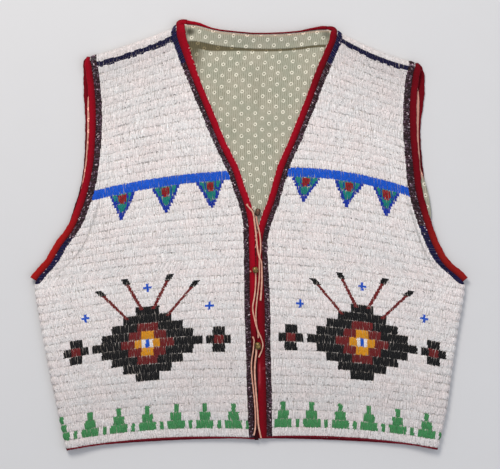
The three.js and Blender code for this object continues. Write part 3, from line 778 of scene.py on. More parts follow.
def laneStrings(front, lane):
    # the strings of one lane of a front
    pitch, count = beadwork["pitch"], beadwork["perLane"]
    lanes = (lane + rowShares)[None, :, None]
    if lane <= size["underarm"]:
        length = float(front.runLength(lane + 0.5))
        strings = int(round(length / pitch))
    else:
        ends = [front.line(np.array(float(k))) for k in (lane, lane + 1)]
        low = min(min(end["sideX"], end["edgeX"]) for end in ends)
        high = max(max(end["sideX"], end["edgeX"]) for end in ends)
        strings = int((high - low) / pitch)
    nudge = chance.normal(0, beadwork["jitter"], (strings, 1, 1))
    order = np.arange(strings)[:, None, None] + 0.5
    wobble = chance.normal(0, 0.05, (strings, count + 1, 1))
    crest = beadwork["low"] + beadwork["arch"] * np.sin(math.pi * (lanes - lane)) ** 0.6
    height = crest + chance.normal(0, 0.11, (strings, 1, 1)) + wobble - beadwork["groove"] * np.abs(sides)
    # ragged ends, and strings that lean together
    ragged = chance.normal(0, beadwork["ragged"], (strings, 1, 1))
    way = np.array([-1, 1])[chance.integers(0, 2, (strings, 1, 1))]
    lanes = lanes + ragged * way * (1 - arch(lanes - lane))
    lanes = np.clip(lanes, 0, size["lanes"])
    middleY = float(front.line(np.array(lane + 0.5))["sideY"])
    lean = drift((order + 0 * lanes) * pitch * 1.7 + 300 * front.side, middleY, 2.2)
    lean = beadwork["lean"] * lean + chance.normal(0, 0.3, (strings, 1, 1))
    order = order + lean * (rowShares - 0.5)[None, :, None] * np.clip(arch(order / strings) * 6, 0, 1)
    if lane <= size["underarm"]:
        share = (order + nudge + sides * 0.5 + wobble) / strings
        run = share * front.runLength(lanes)
        scallop = 1.5 * np.sin(math.pi * (lanes - lane).clip(0, 1)) - 0.9
        height = height + scallop * (1 - ease(run, 0, 1.6 * foldRun))
        points = front.surface(lanes + 0 * run, run, height)
        middle = (points[:, 1:, 1] + points[:, :-1, 1]) / 2
        middleLane = (lanes[:, 1:, 0] + lanes[:, :-1, 0]) / 2
        kept = (run[:, 1:, 1] > foldRun) | (middleLane < size["underarm"] + 0.1)
    else:
        x = low + (order + nudge + sides * 0.5 + wobble) * pitch
        distance = front.distanceAt(lanes, x)
        height = height - front.crease(lanes + 0 * x, distance) * 0.45
        points = front.over(lanes + 0 * x, x, height)
        middle = (points[:, 1:, 1] + points[:, :-1, 1]) / 2
        middleLane = ((lanes[:, 1:] + lanes[:, :-1]) / 2)[..., 0]
        distance = front.distanceAt(middleLane, middle[..., 0])
        line = front.line(middleLane)
        kept = (distance > line["trim"] - 0.6) & (distance < line["width"] - size["edging"] + 0.6)
    x, y = middle[..., 0], middle[..., 1]
    chart = fieldChart(front, lane, x, y)
    colour = addSpecks(beadColours(chart, x, y), chart, x, y)
    # painted shade along the crease beside the armhole
    distance = front.distanceAt(middleLane + 0 * x, x)
    colour *= (1 - 0.4 * front.crease(middleLane + 0 * x, distance))[..., None]
    # painted shade by lane, towards the hem and the shoulders
    colour *= np.interp(lane, *zip(*beadwork["falloffShade"]))
    return beadStrings(points, colour, kept)


beadPieces = {front.name: [] for front in fronts}
for front in fronts:
    for part, lanes in (("lower", range(0, 18)), ("upper", range(18, size["lanes"]))):
        runs = [laneStrings(front, lane) for lane in lanes]
        beadPieces[front.name].append(joined(f"beads_{front.name}_{part}", runs, beadMaterial))
print("lanes of beads made:", sum(len(p.data.polygons) for f in beadPieces.values() for p in f), "faces")


# ---- rolled bead edges
edge = {
    "pitch": 1.5, "beads": 6, "rise": 1.35, "low": 0.1, "groove": 0.65, "slant": 2.4, "dip": 0.22,
    "glint": 0.03, "smoke": 0.22, "waver": 0.55,
}


def edgeRun(start, stop, at, inkAt, beads=None):
    # strings across a strip; at(along, share across, height) gives points
    beads = beads or edge["beads"]
    strings = max(1, int(round((stop - start) / edge["pitch"])))
    shares = np.linspace(0, 1, 2 * beads + 1)[None, :, None]
    order = (np.arange(strings)[:, None, None] + 0.5 + chance.normal(0, 0.08, (strings, 1, 1)))
    along = start + (order + sides * 0.5) * (stop - start) / strings + edge["slant"] * (shares - 0.5)
    dips = np.where(np.arange(2 * beads + 1) % 2, 0, edge["dip"])[None, :, None]
    roll = edge["low"] + edge["rise"] * np.sin(math.pi * shares) ** 0.7
    height = size["hide"] + roll - dips - edge["groove"] * np.abs(sides)
    height = height + chance.normal(0, 0.09, (strings, 1, 1))
    along = np.clip(along, start, stop)
    points = at(along, shares + 0 * along, height)
    middle = along[:, 1::2, 1]
    chart = inkAt(middle)
    dark = chart == inks["plum"]
    draw = chance.random(chart.shape)
    chart = np.where(dark & (draw < edge["smoke"]), inks["smoke"], chart)
    chart = np.where(draw < edge["glint"] * np.where(dark, 1, 0.5), inks["glint"], chart)
    colour = beadColours(chart, points[:, 1::2, 1, 0], points[:, 1::2, 1, 1])
    colour *= chance.uniform(0.6, 1.5, (strings, 1, 1))
    return beadStrings(points, colour, None, 2)


def alongLanes(place, low, high):
    # lengths along a line of lanes, to turn a length back into a lane
    lanes = np.linspace(low, high, 400)
    points = np.stack(place(lanes), -1)[:, :2]
    length = np.concatenate([[0], np.cumsum(np.linalg.norm(np.diff(points, axis=0), axis=1))])
    return lanes, length


navyAbove, navyBelow = 43.2, {"left": 26.0, "right": 27.0}
edgePieces = {front.name: [] for front in fronts}
for front in fronts:
    lanes, length = alongLanes(
        lambda lane: front.place(lane, front.line(lane)["width"] - size["edging"] / 2), 0, size["lanes"])

    def frontEdge(along, share, height):
        lane = np.interp(along, length, lanes)
        waver = edge["waver"] * (np.sin(along * 0.34) + np.sin(along * 0.13 + front.side)) * (1 - share)
        distance = front.line(lane)["width"] - size["edging"] * (1 - share) - waver.clip(-0.4, 1)
        return np.stack([*front.place(lane, distance), front.seat(lane, distance) + height], -1)

    def frontInk(along):
        return np.where(np.interp(along, length, lanes) > navyAbove, inks["navy"], inks["plum"])

    runs = [edgeRun(0, length[-1], frontEdge, frontInk, 5)]
    armLanes, armLength = alongLanes(
        lambda lane: front.place(lane, front.line(lane)["trim"] / 2), size["underarm"] + 0.1, size["lanes"])

    def armEdge(along, share, height):
        lane = np.interp(along, armLength, armLanes)
        return front.surface(lane, foldRun * (1 - share) * 0.999, height)

    def armInk(along):
        lane = np.interp(along, armLength, armLanes)
        return np.where(lane < navyBelow[front.name], inks["navy"], inks["plum"])

    runs.append(edgeRun(0, armLength[-1], armEdge, armInk, 6))
    edgePieces[front.name].append(joined(f"bead_edges_{front.name}", runs, beadMaterial))
print("rolled edges made")


# ---- the back's beads where they come over the shoulders and round the sides
# the beads over the shoulders are painted a little darker: painted shade, as on the fronts' top lanes
backBeads = {"laneLength": 11.2, "neckEdging": 7.5, "armEdging": 9, "overlap": 0.4, "falloffShade": 0.84}


def shoulderBeads(front):
    atSeam = front.line(float(size["lanes"]))
    armX, neckX = atSeam["sideX"], (neckLeft if front is left else neckRight)
    inwards = -front.side
    low = armX + inwards * (backBeads["armEdging"] - backBeads["overlap"])
    high = neckX - inwards * (backBeads["neckEdging"] - backBeads["overlap"])
    strings = int(abs(high - low) / beadwork["pitch"])
    runs = []
    for lane in range(2):
        shares = rowShares[None, :, None]
        order = np.arange(strings)[:, None, None] + 0.5 + chance.normal(0, 0.07, (strings, 1, 1))
        x = low + (order + sides * 0.5) * (high - low) / strings + 0 * shares
        run = (lane + shares) * backBeads["laneLength"] - 1.2 * (1 - lane) * (1 - shares) + 0 * x
        ridge = np.sin(math.pi * (shares if lane else 0.3 + 0.7 * shares))
        height = -0.1 + 0.7 * ridge.clip(0) ** 0.6 - beadwork["groove"] * np.abs(sides)
        height = height + chance.normal(0, 0.12, (strings, 1, 1))
        points = wrap(x, run, height + 0 * x)
        points[..., 2] = points[..., 2].clip(0.02)
        middle = (points[:, 1:, 1] + points[:, :-1, 1]) / 2
        chart = np.full(middle.shape[:2], inks["white"])
        # painted shade, as on the fronts' top lanes
        colour = beadColours(chart, middle[..., 0], middle[..., 1]) * backBeads["falloffShade"]
        outwards = (0, 0, 1) if lane == 0 else (0, 1, -0.3)
        runs.append(beadStrings(points, colour, None, 1, outwards))
    reach = 2 * backBeads["laneLength"]

    def wrapEdge(width, edgeX, towards):
        def at(along, share, height):
            x = edgeX + towards * width * (1 - share)
            points = wrap(x, along, height - size["hide"] - 0.25)
            points[..., 2] = points[..., 2].clip(0.02)
            return points
        return at

    runs.append(edgeRun(-0.6, reach, wrapEdge(backBeads["armEdging"], armX, inwards),
                        lambda along: np.full(along.shape, inks["plum"]), 6))
    runs.append(edgeRun(-0.6, reach, wrapEdge(backBeads["neckEdging"], neckX, -inwards),
                        lambda along: np.full(along.shape, inks["navy"]), 5))
    return runs


def sideBeads(front, lane):
    # round the lower half of a side fold
    strings = 5
    lanes = (lane + rowShares)[None, :, None]
    order = np.arange(strings)[:, None, None] + 0.5
    run = (order + sides * 0.5) / strings * foldRun + 0 * lanes
    turn = run / size["fold"]
    crest = size["laneRise"] * np.sin(math.pi * (lanes - lane)) ** 0.6 * np.cos(turn)
    radius = size["fold"] - 0.1 + crest - beadwork["groove"] * np.abs(sides) * np.cos(turn * 0.8)
    lanes = lanes + 0 * run
    x = backEdge(front, lanes) - front.side * (size["fold"] - radius * np.cos(turn))
    y = front.line(lanes)["sideY"]
    z = (size["fold"] - radius * np.sin(turn)).clip(0.02)
    points = np.stack([x, y, z], -1)
    middle = (points[:, 1:, 1] + points[:, :-1, 1]) / 2
    chart = np.full(middle.shape[:2], inks["white"])
    colour = beadColours(chart, middle[..., 0], middle[..., 1])
    return beadStrings(points, colour, None, 1, (front.side, 0, -0.5))


for front in fronts:
    runs = shoulderBeads(front) + [sideBeads(front, lane) for lane in range(int(size["underarm"]))]
    joined(f"beads_back_{front.name}", runs, beadMaterial)
print("back's beads made")


# ---- walls of hide and cloth
def wallFaces(kept):
    # faces of a closed wall on a grid's kept cells: outer points first, then the inner ones
    rows, columns = kept.shape[0] + 1, kept.shape[1] + 1
    total = rows * columns
    number = np.arange(total).reshape(rows, columns)
    a, b, c, d = number[:-1, :-1], number[:-1, 1:], number[1:, 1:], number[1:, :-1]
    outer = np.stack([a, b, c, d], -1)[kept]
    fence = np.pad(kept, 1)
    besides = (fence[:-2, 1:-1], fence[1:-1, 2:], fence[2:, 1:-1], fence[1:-1, :-2])
    rims = []
    for (start, end), beside in zip(((a, b), (b, c), (c, d), (d, a)), besides):
        rims.append(np.stack([end, start, start + total, end + total], -1)[kept & ~beside])
    return outer, np.concatenate([outer[:, ::-1] + total, *rims])


def wallPiece(name, outer, inner, finishes, kept=None, uv=None):
    # a closed wall: the first finish on its outer side, the last on the rest
    kept = np.ones((outer.shape[0] - 1, outer.shape[1] - 1), bool) if kept is None else kept
    points = np.concatenate([outer.reshape(-1, 3), inner.reshape(-1, 3)])
    front, rest = wallFaces(kept)
    faces = np.concatenate([front, rest])
    flat = points[front]
    volume = np.einsum("ij,ij->i", flat[:, 0] - points[front[:, 0] + len(points) // 2],
                       np.cross(flat[:, 1] - flat[:, 0], flat[:, 3] - flat[:, 0])).sum()
    if volume < 0:
        faces = faces[:, ::-1]
    if uv is not None:
        uv = np.concatenate([uv.reshape(-1, 2)] * 2)[faces]
    piece = meshPiece(name, points, faces, finishes[0], uv)
    if len(finishes) > 1:
        piece.data.materials.append(finishes[-1])
        which = np.concatenate([np.zeros(len(front)), np.ones(len(rest))]).astype(np.int32)
        piece.data.polygons.foreach_set("material_index", which)
    return piece


hide = {
    "top": 1.7, "tint": (214, 204, 194), "shade": (176, 164, 152), "gap": (58, 10, 14),
    # painted shadow, dark red, in the gap between the front edges: its middle, how it fades sideways, and
    # upwards
    "closureShadeMiddle": 11, "closureShadeBeside": (7, 11), "closureShadeAbove": (0, 12),
    "cuts": {"left": ((0.285, 0.54), 0.11), "right": ((0.265, 0.535), 0.101)},
    "backCut": ((0.56, 0.55), 0.252),
}


def hideFinish():
    finish = Finish("tanned hide")
    place = finish.place()
    patches = finish.noise(place, 60, 4, 0.6)
    grain = finish.noise(place, 1400, 3, 0.6)
    colour = finish.blend(finish.ramp(patches, 0.35, 0.7), linear(*hide["tint"]), linear(*hide["shade"]))
    colour = finish.blend(finish.ramp(grain, 0.5, 0.8) * 0.4, colour, linear(*hide["shade"]))
    # painted shadow, dark red, where the two front edges meet
    x, y = finish.axis(place, 0) * 1000, finish.axis(place, 1) * 1000
    beside = finish.ramp(abs(x - hide["closureShadeMiddle"]), *hide["closureShadeBeside"])
    closureShade = (1 - beside) * (1 - finish.ramp(y, *hide["closureShadeAbove"]))
    colour = finish.blend(closureShade, colour, linear(*hide["gap"]))
    return finish.surface(Base_Color=colour, Roughness=0.75 + grain * 0.15,
                          Normal=finish.bump(grain, 0.3, 0.6))


hideMaterial = hideFinish()
for front in fronts:
    lanes = np.arange(0, size["lanes"] + 0.1, 0.5)[:, None]
    shares = np.concatenate([np.linspace(0, 1, 7), np.linspace(1, 2, 15)[1:], np.linspace(2, 3, 4)[1:]])[None]
    length = front.runLength(lanes)
    run = np.where(shares <= 1, shares * foldRun, mix(foldRun, length, shares - 1))
    run = np.where(shares > 2, length + (shares - 2) * size["edging"], run)
    lanes = lanes + 0 * run
    piece = wallPiece(f"hide_{front.name}", front.surface(lanes, run, hide["top"] + 0 * run),
                      front.surface(lanes, run, 0 * run), [hideMaterial])
    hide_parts(f"front_{front.name}")
print("hide of the fronts made")


# ---- the back: beaded outside, underneath as it lies
backPanel = {"edgeWidth": 6, "neckCells": 24, "shoulderCells": 10}


def backBeadFinish():
    # lanes of white beads: u counts the strings and v the beads
    finish = Finish("white bead lanes")
    uv = finish.place("UV")
    u, v = finish.axis(uv, 0), finish.axis(uv, 1)
    along = v.part() * 2 - 1
    laneShare = (v / beadwork["perLane"]).part()
    across = (u + (v / beadwork["perLane"]).whole() * 0.37).part() * 2 - 1
    cell = finish.node("CombineXYZ", None, {0: u.whole(), 1: v.whole()})
    each = finish.node("TexWhiteNoise", {"noise_dimensions": "2D"}, {"Vector": cell})
    # painted shade: darker between strings, between beads and towards both ends of each lane
    crown = (laneShare * math.pi).wave() ** 0.5
    gap = (abs(across) ** 4) * 0.45 + (abs(along) ** 6) * 0.28
    shade = finish.grey((1 - gap) * (0.88 + each * 0.12) * (0.62 + crown * 0.38))
    height = (1 - across * across * 0.9) ** 0.5 * 0.5 + (1 - along * along * 0.9) ** 0.5 * 0.25 + crown
    return finish.surface(
        Base_Color=finish.blend(1.0, linear(*palette["white"]), shade, "MULTIPLY"),
        Roughness=0.3 + each * 0.2 + gap * 0.5, Normal=finish.bump(height, 1.0, 0.9))


def backColumnList():
    # zone, share of the zone, turn round a side fold
    turns = np.radians(np.linspace(0, 90, 7))
    cells, neck = backPanel["shoulderCells"], backPanel["neckCells"]
    columns = [("left", turn / turns[-1], turn) for turn in turns]
    columns += [("leftShoulder", share, 0) for share in np.linspace(0, 1, cells + 1)[1:]]
    columns += [("neck", share, 0) for share in np.linspace(0, 1, neck + 1)[1:-1]]
    columns += [("rightShoulder", share, 0) for share in np.linspace(0, 1, cells + 1)[:-1]]
    return columns + [("right", turn / turns[-1], turn) for turn in turns[::-1]]


backColumns = backColumnList()
backZone = np.array([column[0] for column in backColumns])
backShare, backTurn = (np.array([column[k] for column in backColumns], float) for k in (1, 2))
overNeck = backZone == "neck"


def backRow(kind, value):
    # a row of the back's outer and inner points: by lane, by drop from the top, or by turn
    fold, wall = size["fold"], size["hide"]
    lane = value if kind == "lane" else size["lanes"] - (value if kind == "drop" else 0) / size["pitch"]
    lane = float(lane)
    folded = 1 - float(ease(lane, size["underarm"] - 0.5, size["underarm"] + 0.5))
    crest = size["laneRise"] * abs(math.sin(math.pi * lane)) * folded
    ends = {front.name: float(backEdge(front, lane)) for front in fronts}
    inset = mix(backPanel["edgeWidth"], fold, folded)
    found = []
    for radius, flatZ, plus in ((fold, 0, crest), (fold - wall, wall, 0)):
        radius = radius + plus * np.cos(backTurn)
        turnIn = mix(backPanel["edgeWidth"] * backShare, fold - radius * np.cos(backTurn), folded)
        x = np.select(
            [backZone == "left", backZone == "right", backZone == "leftShoulder", overNeck],
            [ends["left"] + turnIn, ends["right"] - turnIn,
             mix(ends["left"] + inset, neckLeft, backShare), mix(neckLeft, neckRight, backShare)],
            mix(neckRight, ends["right"] - inset, backShare))
        atSide = (backZone == "left") | (backZone == "right")
        z = np.where(atSide, mix(flatZ, fold - radius * np.sin(backTurn), folded), flatZ)
        across = (x - ends["left"]) / (ends["right"] - ends["left"])
        if kind == "lane":
            y = mix(float(left.line(lane)["sideY"]), float(right.line(lane)["sideY"]), across)
            y += size["backHemRise"] * arch(np.clip(across, 0, 1)) * (1 - ease(lane, 0, 43))
            beside = np.minimum(across, 1 - across)
            y += size["backHemTuck"] * ease(beside, 0.01, 0.07) * (1 - ease(lane, 0, 3))
        elif kind == "drop":
            y = np.where(overNeck, neckY(x) - value, shoulderY(x) - fold - value)
            z = z + np.where(overNeck, neckRise(x, value), 0)
        else:
            centre = seamY(x) + size["gap"] if kind == "seam" else shoulderY(x) - fold
            y = np.where(overNeck, neckY(x), centre + radius * math.cos(value))
            z = np.where(overNeck, neckRise(x, 0) + flatZ, fold + radius * math.sin(value))
        found.append(np.stack([x, y, z], -1))
    return found


backRows = [("lane", lane) for lane in np.arange(0, 21.01, 0.5)]
backRows += [("lane", lane) for lane in np.arange(22, 42.1, 1)]
backRows += [("drop", drop) for drop in (26, 23, 20, 17, 14, 11, 8, 5, 2.5, 0)]
wrapFrom = len(backRows) - 1
backRows += [("turn", math.radians(turn)) for turn in range(-75, 91, 15)] + [("seam", math.radians(90))]
made = [backRow(*row) for row in backRows]
outer, inner = (np.stack([row[k] for row in made]) for k in (0, 1))
kept = np.ones((len(backRows) - 1, len(backColumns) - 1), bool)
kept[wrapFrom:, (overNeck[1:] | overNeck[:-1])] = False
reach = np.concatenate([[0], np.cumsum(np.linalg.norm(np.diff(outer[:, 3], axis=0), axis=1))])
laneNumber = np.array([value if kind == "lane" else np.nan for kind, value in backRows])
lastLane = np.flatnonzero(~np.isnan(laneNumber))[-1]
laneNumber[lastLane:] = laneNumber[lastLane] + (reach[lastLane:] - reach[lastLane]) / size["pitch"]
uv = np.stack([outer[..., 0] / beadwork["pitch"], np.repeat(laneNumber[:, None], outer.shape[1], 1)
               * beadwork["perLane"]], -1)
backPiece = wallPiece("hide_back", outer, inner, [backBeadFinish(), hideMaterial], kept, uv)
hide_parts("back_panel")
print("back made")


# ---- the printed cotton that lines the back
lining = {
    "tuckRise": 0.8,
    # where the shadows of the armholes, the shoulder seam and the lower gap begin and end
    "armEnds": (-190, 195), "armFades": ((40, 60), (70, 80)), "seamFade": (2.4, 4.6), "gapFade": (4, 13),
    "ground": (158, 157, 137), "warm": (171, 165, 145), "stripe": (108, 106, 82), "pale": (188, 184, 160),
    "ring": (230, 224, 202), "eye": (84, 76, 56),
    "stripePitch": 2.6, "dashPitch": 1.5, "rowPitch": 7.2, "ringPitch": 17.9, "ringOut": 2.5, "ringIn": 0.85,
    # the print lies a little out of true: rise of its rows, lean and bend of its columns, shifts
    "slope": 0.041, "lean": 0.178, "bend": -0.000615, "shift": (-2.95, -2.34),
    # painted shade in the hollows under the neck's corners: x, y, width, height, strength
    "pockets": [(-76.5, 262.5, 6, 4.6, 0.95), (100, 259, 5, 5, 0.6)],
    "tuckShadow": [(-93, 9.9), (-54, 9.4), (-33, 5.9), (-5, 3.2), (113, 2.6)],
    "shadowShade": (0.27, 0.23, 0.14), "pocketShade": (0.1, 0.09, 0.05), "seamShade": (1.1, 0.86, 0.8),
    "armShade": (1.8, 0.88, 0.86), "gapShade": (0.3, 0.07, 0.08),
    # soft creases, listed one by one: x, y, turn in degrees, length, width, rise
    "creases": [
        (-62, 205, 62, 74, 7, 0.9), (-38, 176, 78, 60, 6, -0.7), (-14, 214, 84, 52, 9, 0.6),
        (12, 188, 97, 80, 8, -0.8), (36, 220, 92, 44, 6, 0.7), (58, 190, 112, 66, 7, 0.9),
        (83, 208, 121, 54, 6, -0.7), (0, 232, 3, 120, 5, 0.6), (-70, 236, 12, 46, 5, -0.6),
        (74, 238, -8, 58, 5, 0.5), (24, 150, 88, 62, 9, 0.6), (-20, 140, 95, 48, 8, -0.5),
    ],
    "cut": ((0.53, 0.32), 0.132),
    # how far its edge stands out past the back's, by lane
    "past": {
        "left": [(21, -1), (28.5, -1), (30, 4), (32, 5.4), (34, 5.2), (38, 3.8), (42, 3.9),
                 (44, 0), (47, -1)],
        "right": [(21, -1), (27, -0.5), (27.6, 4.5), (28.2, 8), (28.9, 9), (30, 9.2), (31, 8.2), (32.3, 6.4),
                  (33.7, 3.3), (35.4, 4.2), (39.2, 4.1), (42.3, 3.2), (43.8, 1), (45.5, -1), (47, -1)],
    },
}


def liningFinish():
    finish = Finish("printed cotton")
    place = finish.place()
    x, y = finish.axis(place, 0) * 1000, finish.axis(place, 1) * 1000
    u = x + y * lining["lean"] + y * y * lining["bend"] + lining["shift"][0]
    v = y - x * lining["slope"] + lining["shift"][1]
    wander = finish.noise(place, 120, 3, 0.6) - 0.5
    fine = finish.noise(place, 900, 3, 0.6)
    patches = finish.noise(place, 34, 3, 0.55)
    colour = finish.blend(
        finish.ramp(patches, 0.34, 0.66), linear(*lining["ground"]), linear(*lining["warm"]))
    # pinstripes, broken here and there
    stripe = ((u + wander * 0.9) * (2 * math.pi / lining["stripePitch"])).wave()
    broken = finish.ramp(finish.noise(place, 260, 2, 0.6), 0.3, 0.62)
    dashes = (v * (2 * math.pi / lining["dashPitch"])).wave() * 0.3 + 0.7
    colour = finish.blend(
        finish.ramp(stripe, 0.2, 0.8) * broken * dashes * 0.9, colour, linear(*lining["stripe"]))
    colour = finish.blend(
        finish.ramp(stripe * -1, 0.45, 0.95) * broken * 0.5, colour, linear(*lining["pale"]))
    # rings with an eye, every other row moved by half a step
    row = (v / lining["rowPitch"]).whole()
    other = (row * 0.5).part()
    beside = ((u / lining["ringPitch"] + other).part() - 0.5) * lining["ringPitch"]
    above = ((v / lining["rowPitch"]).part() - 0.5) * lining["rowPitch"]
    away = (beside * beside + above * above) ** 0.5 + wander * 0.9 + (fine - 0.5) * 0.7
    disc = 1 - finish.ramp(away, lining["ringOut"] - 0.35, lining["ringOut"] + 0.2)
    eye = 1 - finish.ramp(away, lining["ringIn"] - 0.3, lining["ringIn"] + 0.3)
    worn = finish.ramp(finish.noise(place, 430, 2, 0.5), 0.36, 0.5) * 0.6 + 0.4
    colour = finish.blend(disc * worn * 0.92, colour, linear(*lining["ring"]))
    colour = finish.blend(eye * 0.95, colour, linear(*lining["eye"]))
    # weave, and the shade under the tuck
    warp = (x * (2 * math.pi / 0.62)).wave() * (y * (2 * math.pi / 0.62)).wave()
    attribute = finish.node("Attribute", {"attribute_name": "tint"}, None, 0)
    colour = finish.blend(1.0, colour, attribute, "MULTIPLY")
    return finish.surface(Base_Color=colour, Roughness=0.86 + fine * 0.08, Sheen_Weight=0.15,
                          Normal=finish.bump(warp * 0.35 + fine, 0.22, 0.7))


def creaseHeight(x, y):
    height = 0 * x
    for middleX, middleY, turn, length, width, rise in lining["creases"]:
        turn = math.radians(turn)
        along = (x - middleX) * math.cos(turn) + (y - middleY) * math.sin(turn)
        beside = (y - middleY) * math.cos(turn) - (x - middleX) * math.sin(turn)
        beside = beside + 2.2 * np.sin(along * 0.06 + middleX)
        fade = np.clip(1 - (2 * along / length) ** 2, 0, 1) ** 1.4
        height = height + rise * fade * np.exp(-(beside / (width * (0.6 + 0.4 * fade))) ** 2)
    return height


tuckLine = smoothThrough([
    (-93, 24.6), (-79, 22.4), (-54, 20.2), (-33, 19.6), (8, 19.2), (46, 19.8), (66, 20), (98, 20.4),
    (113, 20.6)])


def liningShape():
    columns = [("left", share) for share in np.linspace(0, 1, 26)]
    columns += [("neck", share) for share in np.linspace(0, 1, 50)[1:-1]]
    columns += [("right", share) for share in np.linspace(0, 1, 26)]
    zone = np.array([column[0] for column in columns])
    share = np.array([column[1] for column in columns])
    rows = [("lane", lane) for lane in np.arange(21.8, 44.2, 0.4)]
    rows += [("drop", drop) for drop in np.concatenate([np.linspace(30, 17, 20), np.linspace(16, 1.8, 10)])]
    outer, inner = [], []
    for kind, value in rows:
        lane = float(value if kind == "lane" else size["lanes"] - value / size["pitch"])
        past = {side: float(np.interp(lane, *zip(*rows))) for side, rows in lining["past"].items()}
        low = float(backEdge(left, lane)) - past["left"]
        high = float(backEdge(right, lane)) + past["right"]
        x = np.select([zone == "left", zone == "neck"],
                      [mix(low, neckLeft, share), mix(neckLeft, neckRight, share)],
                      mix(neckRight, high, share))
        across = (x - low) / (high - low)
        y = mix(float(left.line(lane)["sideY"]), float(right.line(lane)["sideY"]), across)
        rise = 0 * x
        drop = np.full(len(x), 60.0)
        if kind == "drop":
            drop[:] = value
            y = np.where(zone == "neck", neckY(x) - value, shoulderY(x) - size["fold"] - value)
            rise = np.where(zone == "neck", neckRise(x, value), 0)
        tucked = (zone == "neck") * (1 - ease(drop, tuckLine(x)[..., 0] - 1.2, tuckLine(x)[..., 0]))
        lift = creaseHeight(x, y) * (zone == "neck")
        lift = np.clip(lift, -0.6, 1.1) * ease(drop, 2, 8)
        lower = liningRest + rise + 0 * x
        upper = lower + size["liningWall"] + tucked * lining["tuckRise"] + np.maximum(lift, 0) * 0.9
        outer.append(np.stack([x, y, upper], -1))
        inner.append(np.stack([x, y, lower], -1))
    return np.stack(outer), np.stack(inner)


outer, inner = liningShape()
liningMaterial = liningFinish()
liningPiece = wallPiece("lining_back", outer, inner, [liningMaterial])
layer = liningPiece.data.color_attributes.new(name="tint", type="FLOAT_COLOR", domain="POINT")
places = np.empty(len(liningPiece.data.vertices) * 3, np.float32)
liningPiece.data.vertices.foreach_get("co", places)
places = places.reshape(-1, 3) / mm
drop = neckY(places[:, 0]) - places[:, 1]
tuck = tuckLine(np.clip(places[:, 0], -93, 113))[..., 0]
below = drop - tuck
deep = np.interp(places[:, 0], *zip(*lining["tuckShadow"]))
opening = (places[:, 0] > neckLeft) & (places[:, 0] < neckRight)


def shaded(tint, amount, shade):
    return tint * (1 - np.clip(amount, 0, 1)[:, None] * (1 - np.array(shade)))


tint = np.ones((len(places), 3))
underTuck = ease(below, -1.2, 0.1) * (1 - ease(below, deep - 1, deep + 0.4))
tint = shaded(tint, opening * underTuck, lining["shadowShade"])
# painted shade in the hollows under the neck's corners
for middleX, middleY, wide, high, strength in lining["pockets"]:
    away = ((places[:, 0] - middleX) / wide) ** 2 + ((places[:, 1] - middleY) / high) ** 2
    tint = shaded(tint, opening * strength * np.exp(-away ** 2), lining["pocketShade"])
# painted shade in the troughs of the creases
troughs = np.clip(-creaseHeight(places[:, 0], places[:, 1]), 0, 1)
tint = shaded(tint, 0.5 * opening * troughs, (0.7, 0.7, 0.66))
tint = shaded(tint, opening * (1 - ease(drop, *lining["seamFade"])), lining["seamShade"])
leftEnd, rightEnd = lining["armEnds"]
leftFade, rightFade = lining["armFades"]
# painted red reflection: the lining's edge at each armhole is made pinker and lighter, as if lit by the wool
# beside it
tint = shaded(tint, (places[:, 0] < leftEnd) * ease(places[:, 1], *leftFade), lining["armShade"])
tint = shaded(tint, (places[:, 0] > rightEnd) * ease(places[:, 1], *rightFade), lining["armShade"])
tint = shaded(tint, opening * (1 - ease(places[:, 1], *lining["gapFade"])), lining["gapShade"])
solidTint = np.concatenate([tint, np.ones((len(tint), 1))], 1)
layer.data.foreach_set("color", solidTint.astype(np.float32).ravel())
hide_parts("back_lining")
print("lining made")


# ---- wool bindings, folded over the edges
wool = {
    "red": (143, 1, 23), "crimson": (154, 4, 28), "bright": (152, 20, 18), "rust": (134, 22, 18),
    "madder": (138, 1, 22), "claret": (104, 0, 14),
    # the darkest reds are painted shade: the one for the left front's binding low down, where the right
    # front's edge overlaps it, and the one for the back's armhole bindings, which lie below and behind the
    # fronts'
    "deep": (116, 0, 16), "dark": (76, 0, 12), "shadowRed": (46, 4, 10),
    "hem": (106, 16, 30), "step": 1.7, "wander": 0.03, "pucker": 0.18,
    # pale places where the nap is worn: x, y, half width, half length
    "worn": [(13.4, -181, 0.8, 15), (20.2, -215, 0.8, 2.4), (20.7, -171.6, 0.8, 1.6), (17.5, 60, 0.9, 2),
             (20.4, -240, 0.7, 1.6)], "wornTint": (206, 96, 104),
    # round each corner of the neck: x, y, lower and upper height, then the width at the end
    "corners": {
        "left": ([(-93.9, 272.6, 5.6, 8.6), (-92.6, 275.4, 3.6, 7.2), (-89.6, 277.6, 1.8, 5.6),
                  (-85.2, 278.5, 0.8, 4.8), (-80, 278.1, 0.6, 4.4)], 0.55),
        "right": ([(113.2, 264.6, 5.2, 8.2), (111.6, 267.2, 3.2, 6.6), (108.6, 269, 1.6, 5.2),
                   (104.4, 269.6, 0.8, 4.6), (99.4, 269.3, 0.6, 4.2)], 0.5),
    },
    "neckFrom": 13, "neckTo": 13.5,
    "armWidth": 8.2, "topSpread": 2.4,
    # colours along the strips, by share of their length
    "frontRows": {
        "left": [(0, "shadowRed"), (0.2, "shadowRed"), (0.28, "red"), (0.5, "crimson"), (1, "red")],
        "right": [(0, "deep"), (0.3, "deep"), (0.45, "red"), (0.76, "red"), (0.83, "deep"), (1, "deep")],
    },
    "armRows": {
        "left": [(0, "bright"), (0.2, "bright"), (0.4, "madder"), (1, "madder")],
        "right": [(0, "rust"), (0.2, "rust"), (0.4, "claret"), (1, "claret")],
    },
    # width of the strip along the back of the neck, by share of its length
    "neckWidths": [(0, 5), (0.05, 4), (0.12, 2.9), (0.18, 1.5), (0.5, 1.2), (0.78, 1.5), (0.865, 2.3),
                   (0.95, 3.8), (1, 4.4)],
}


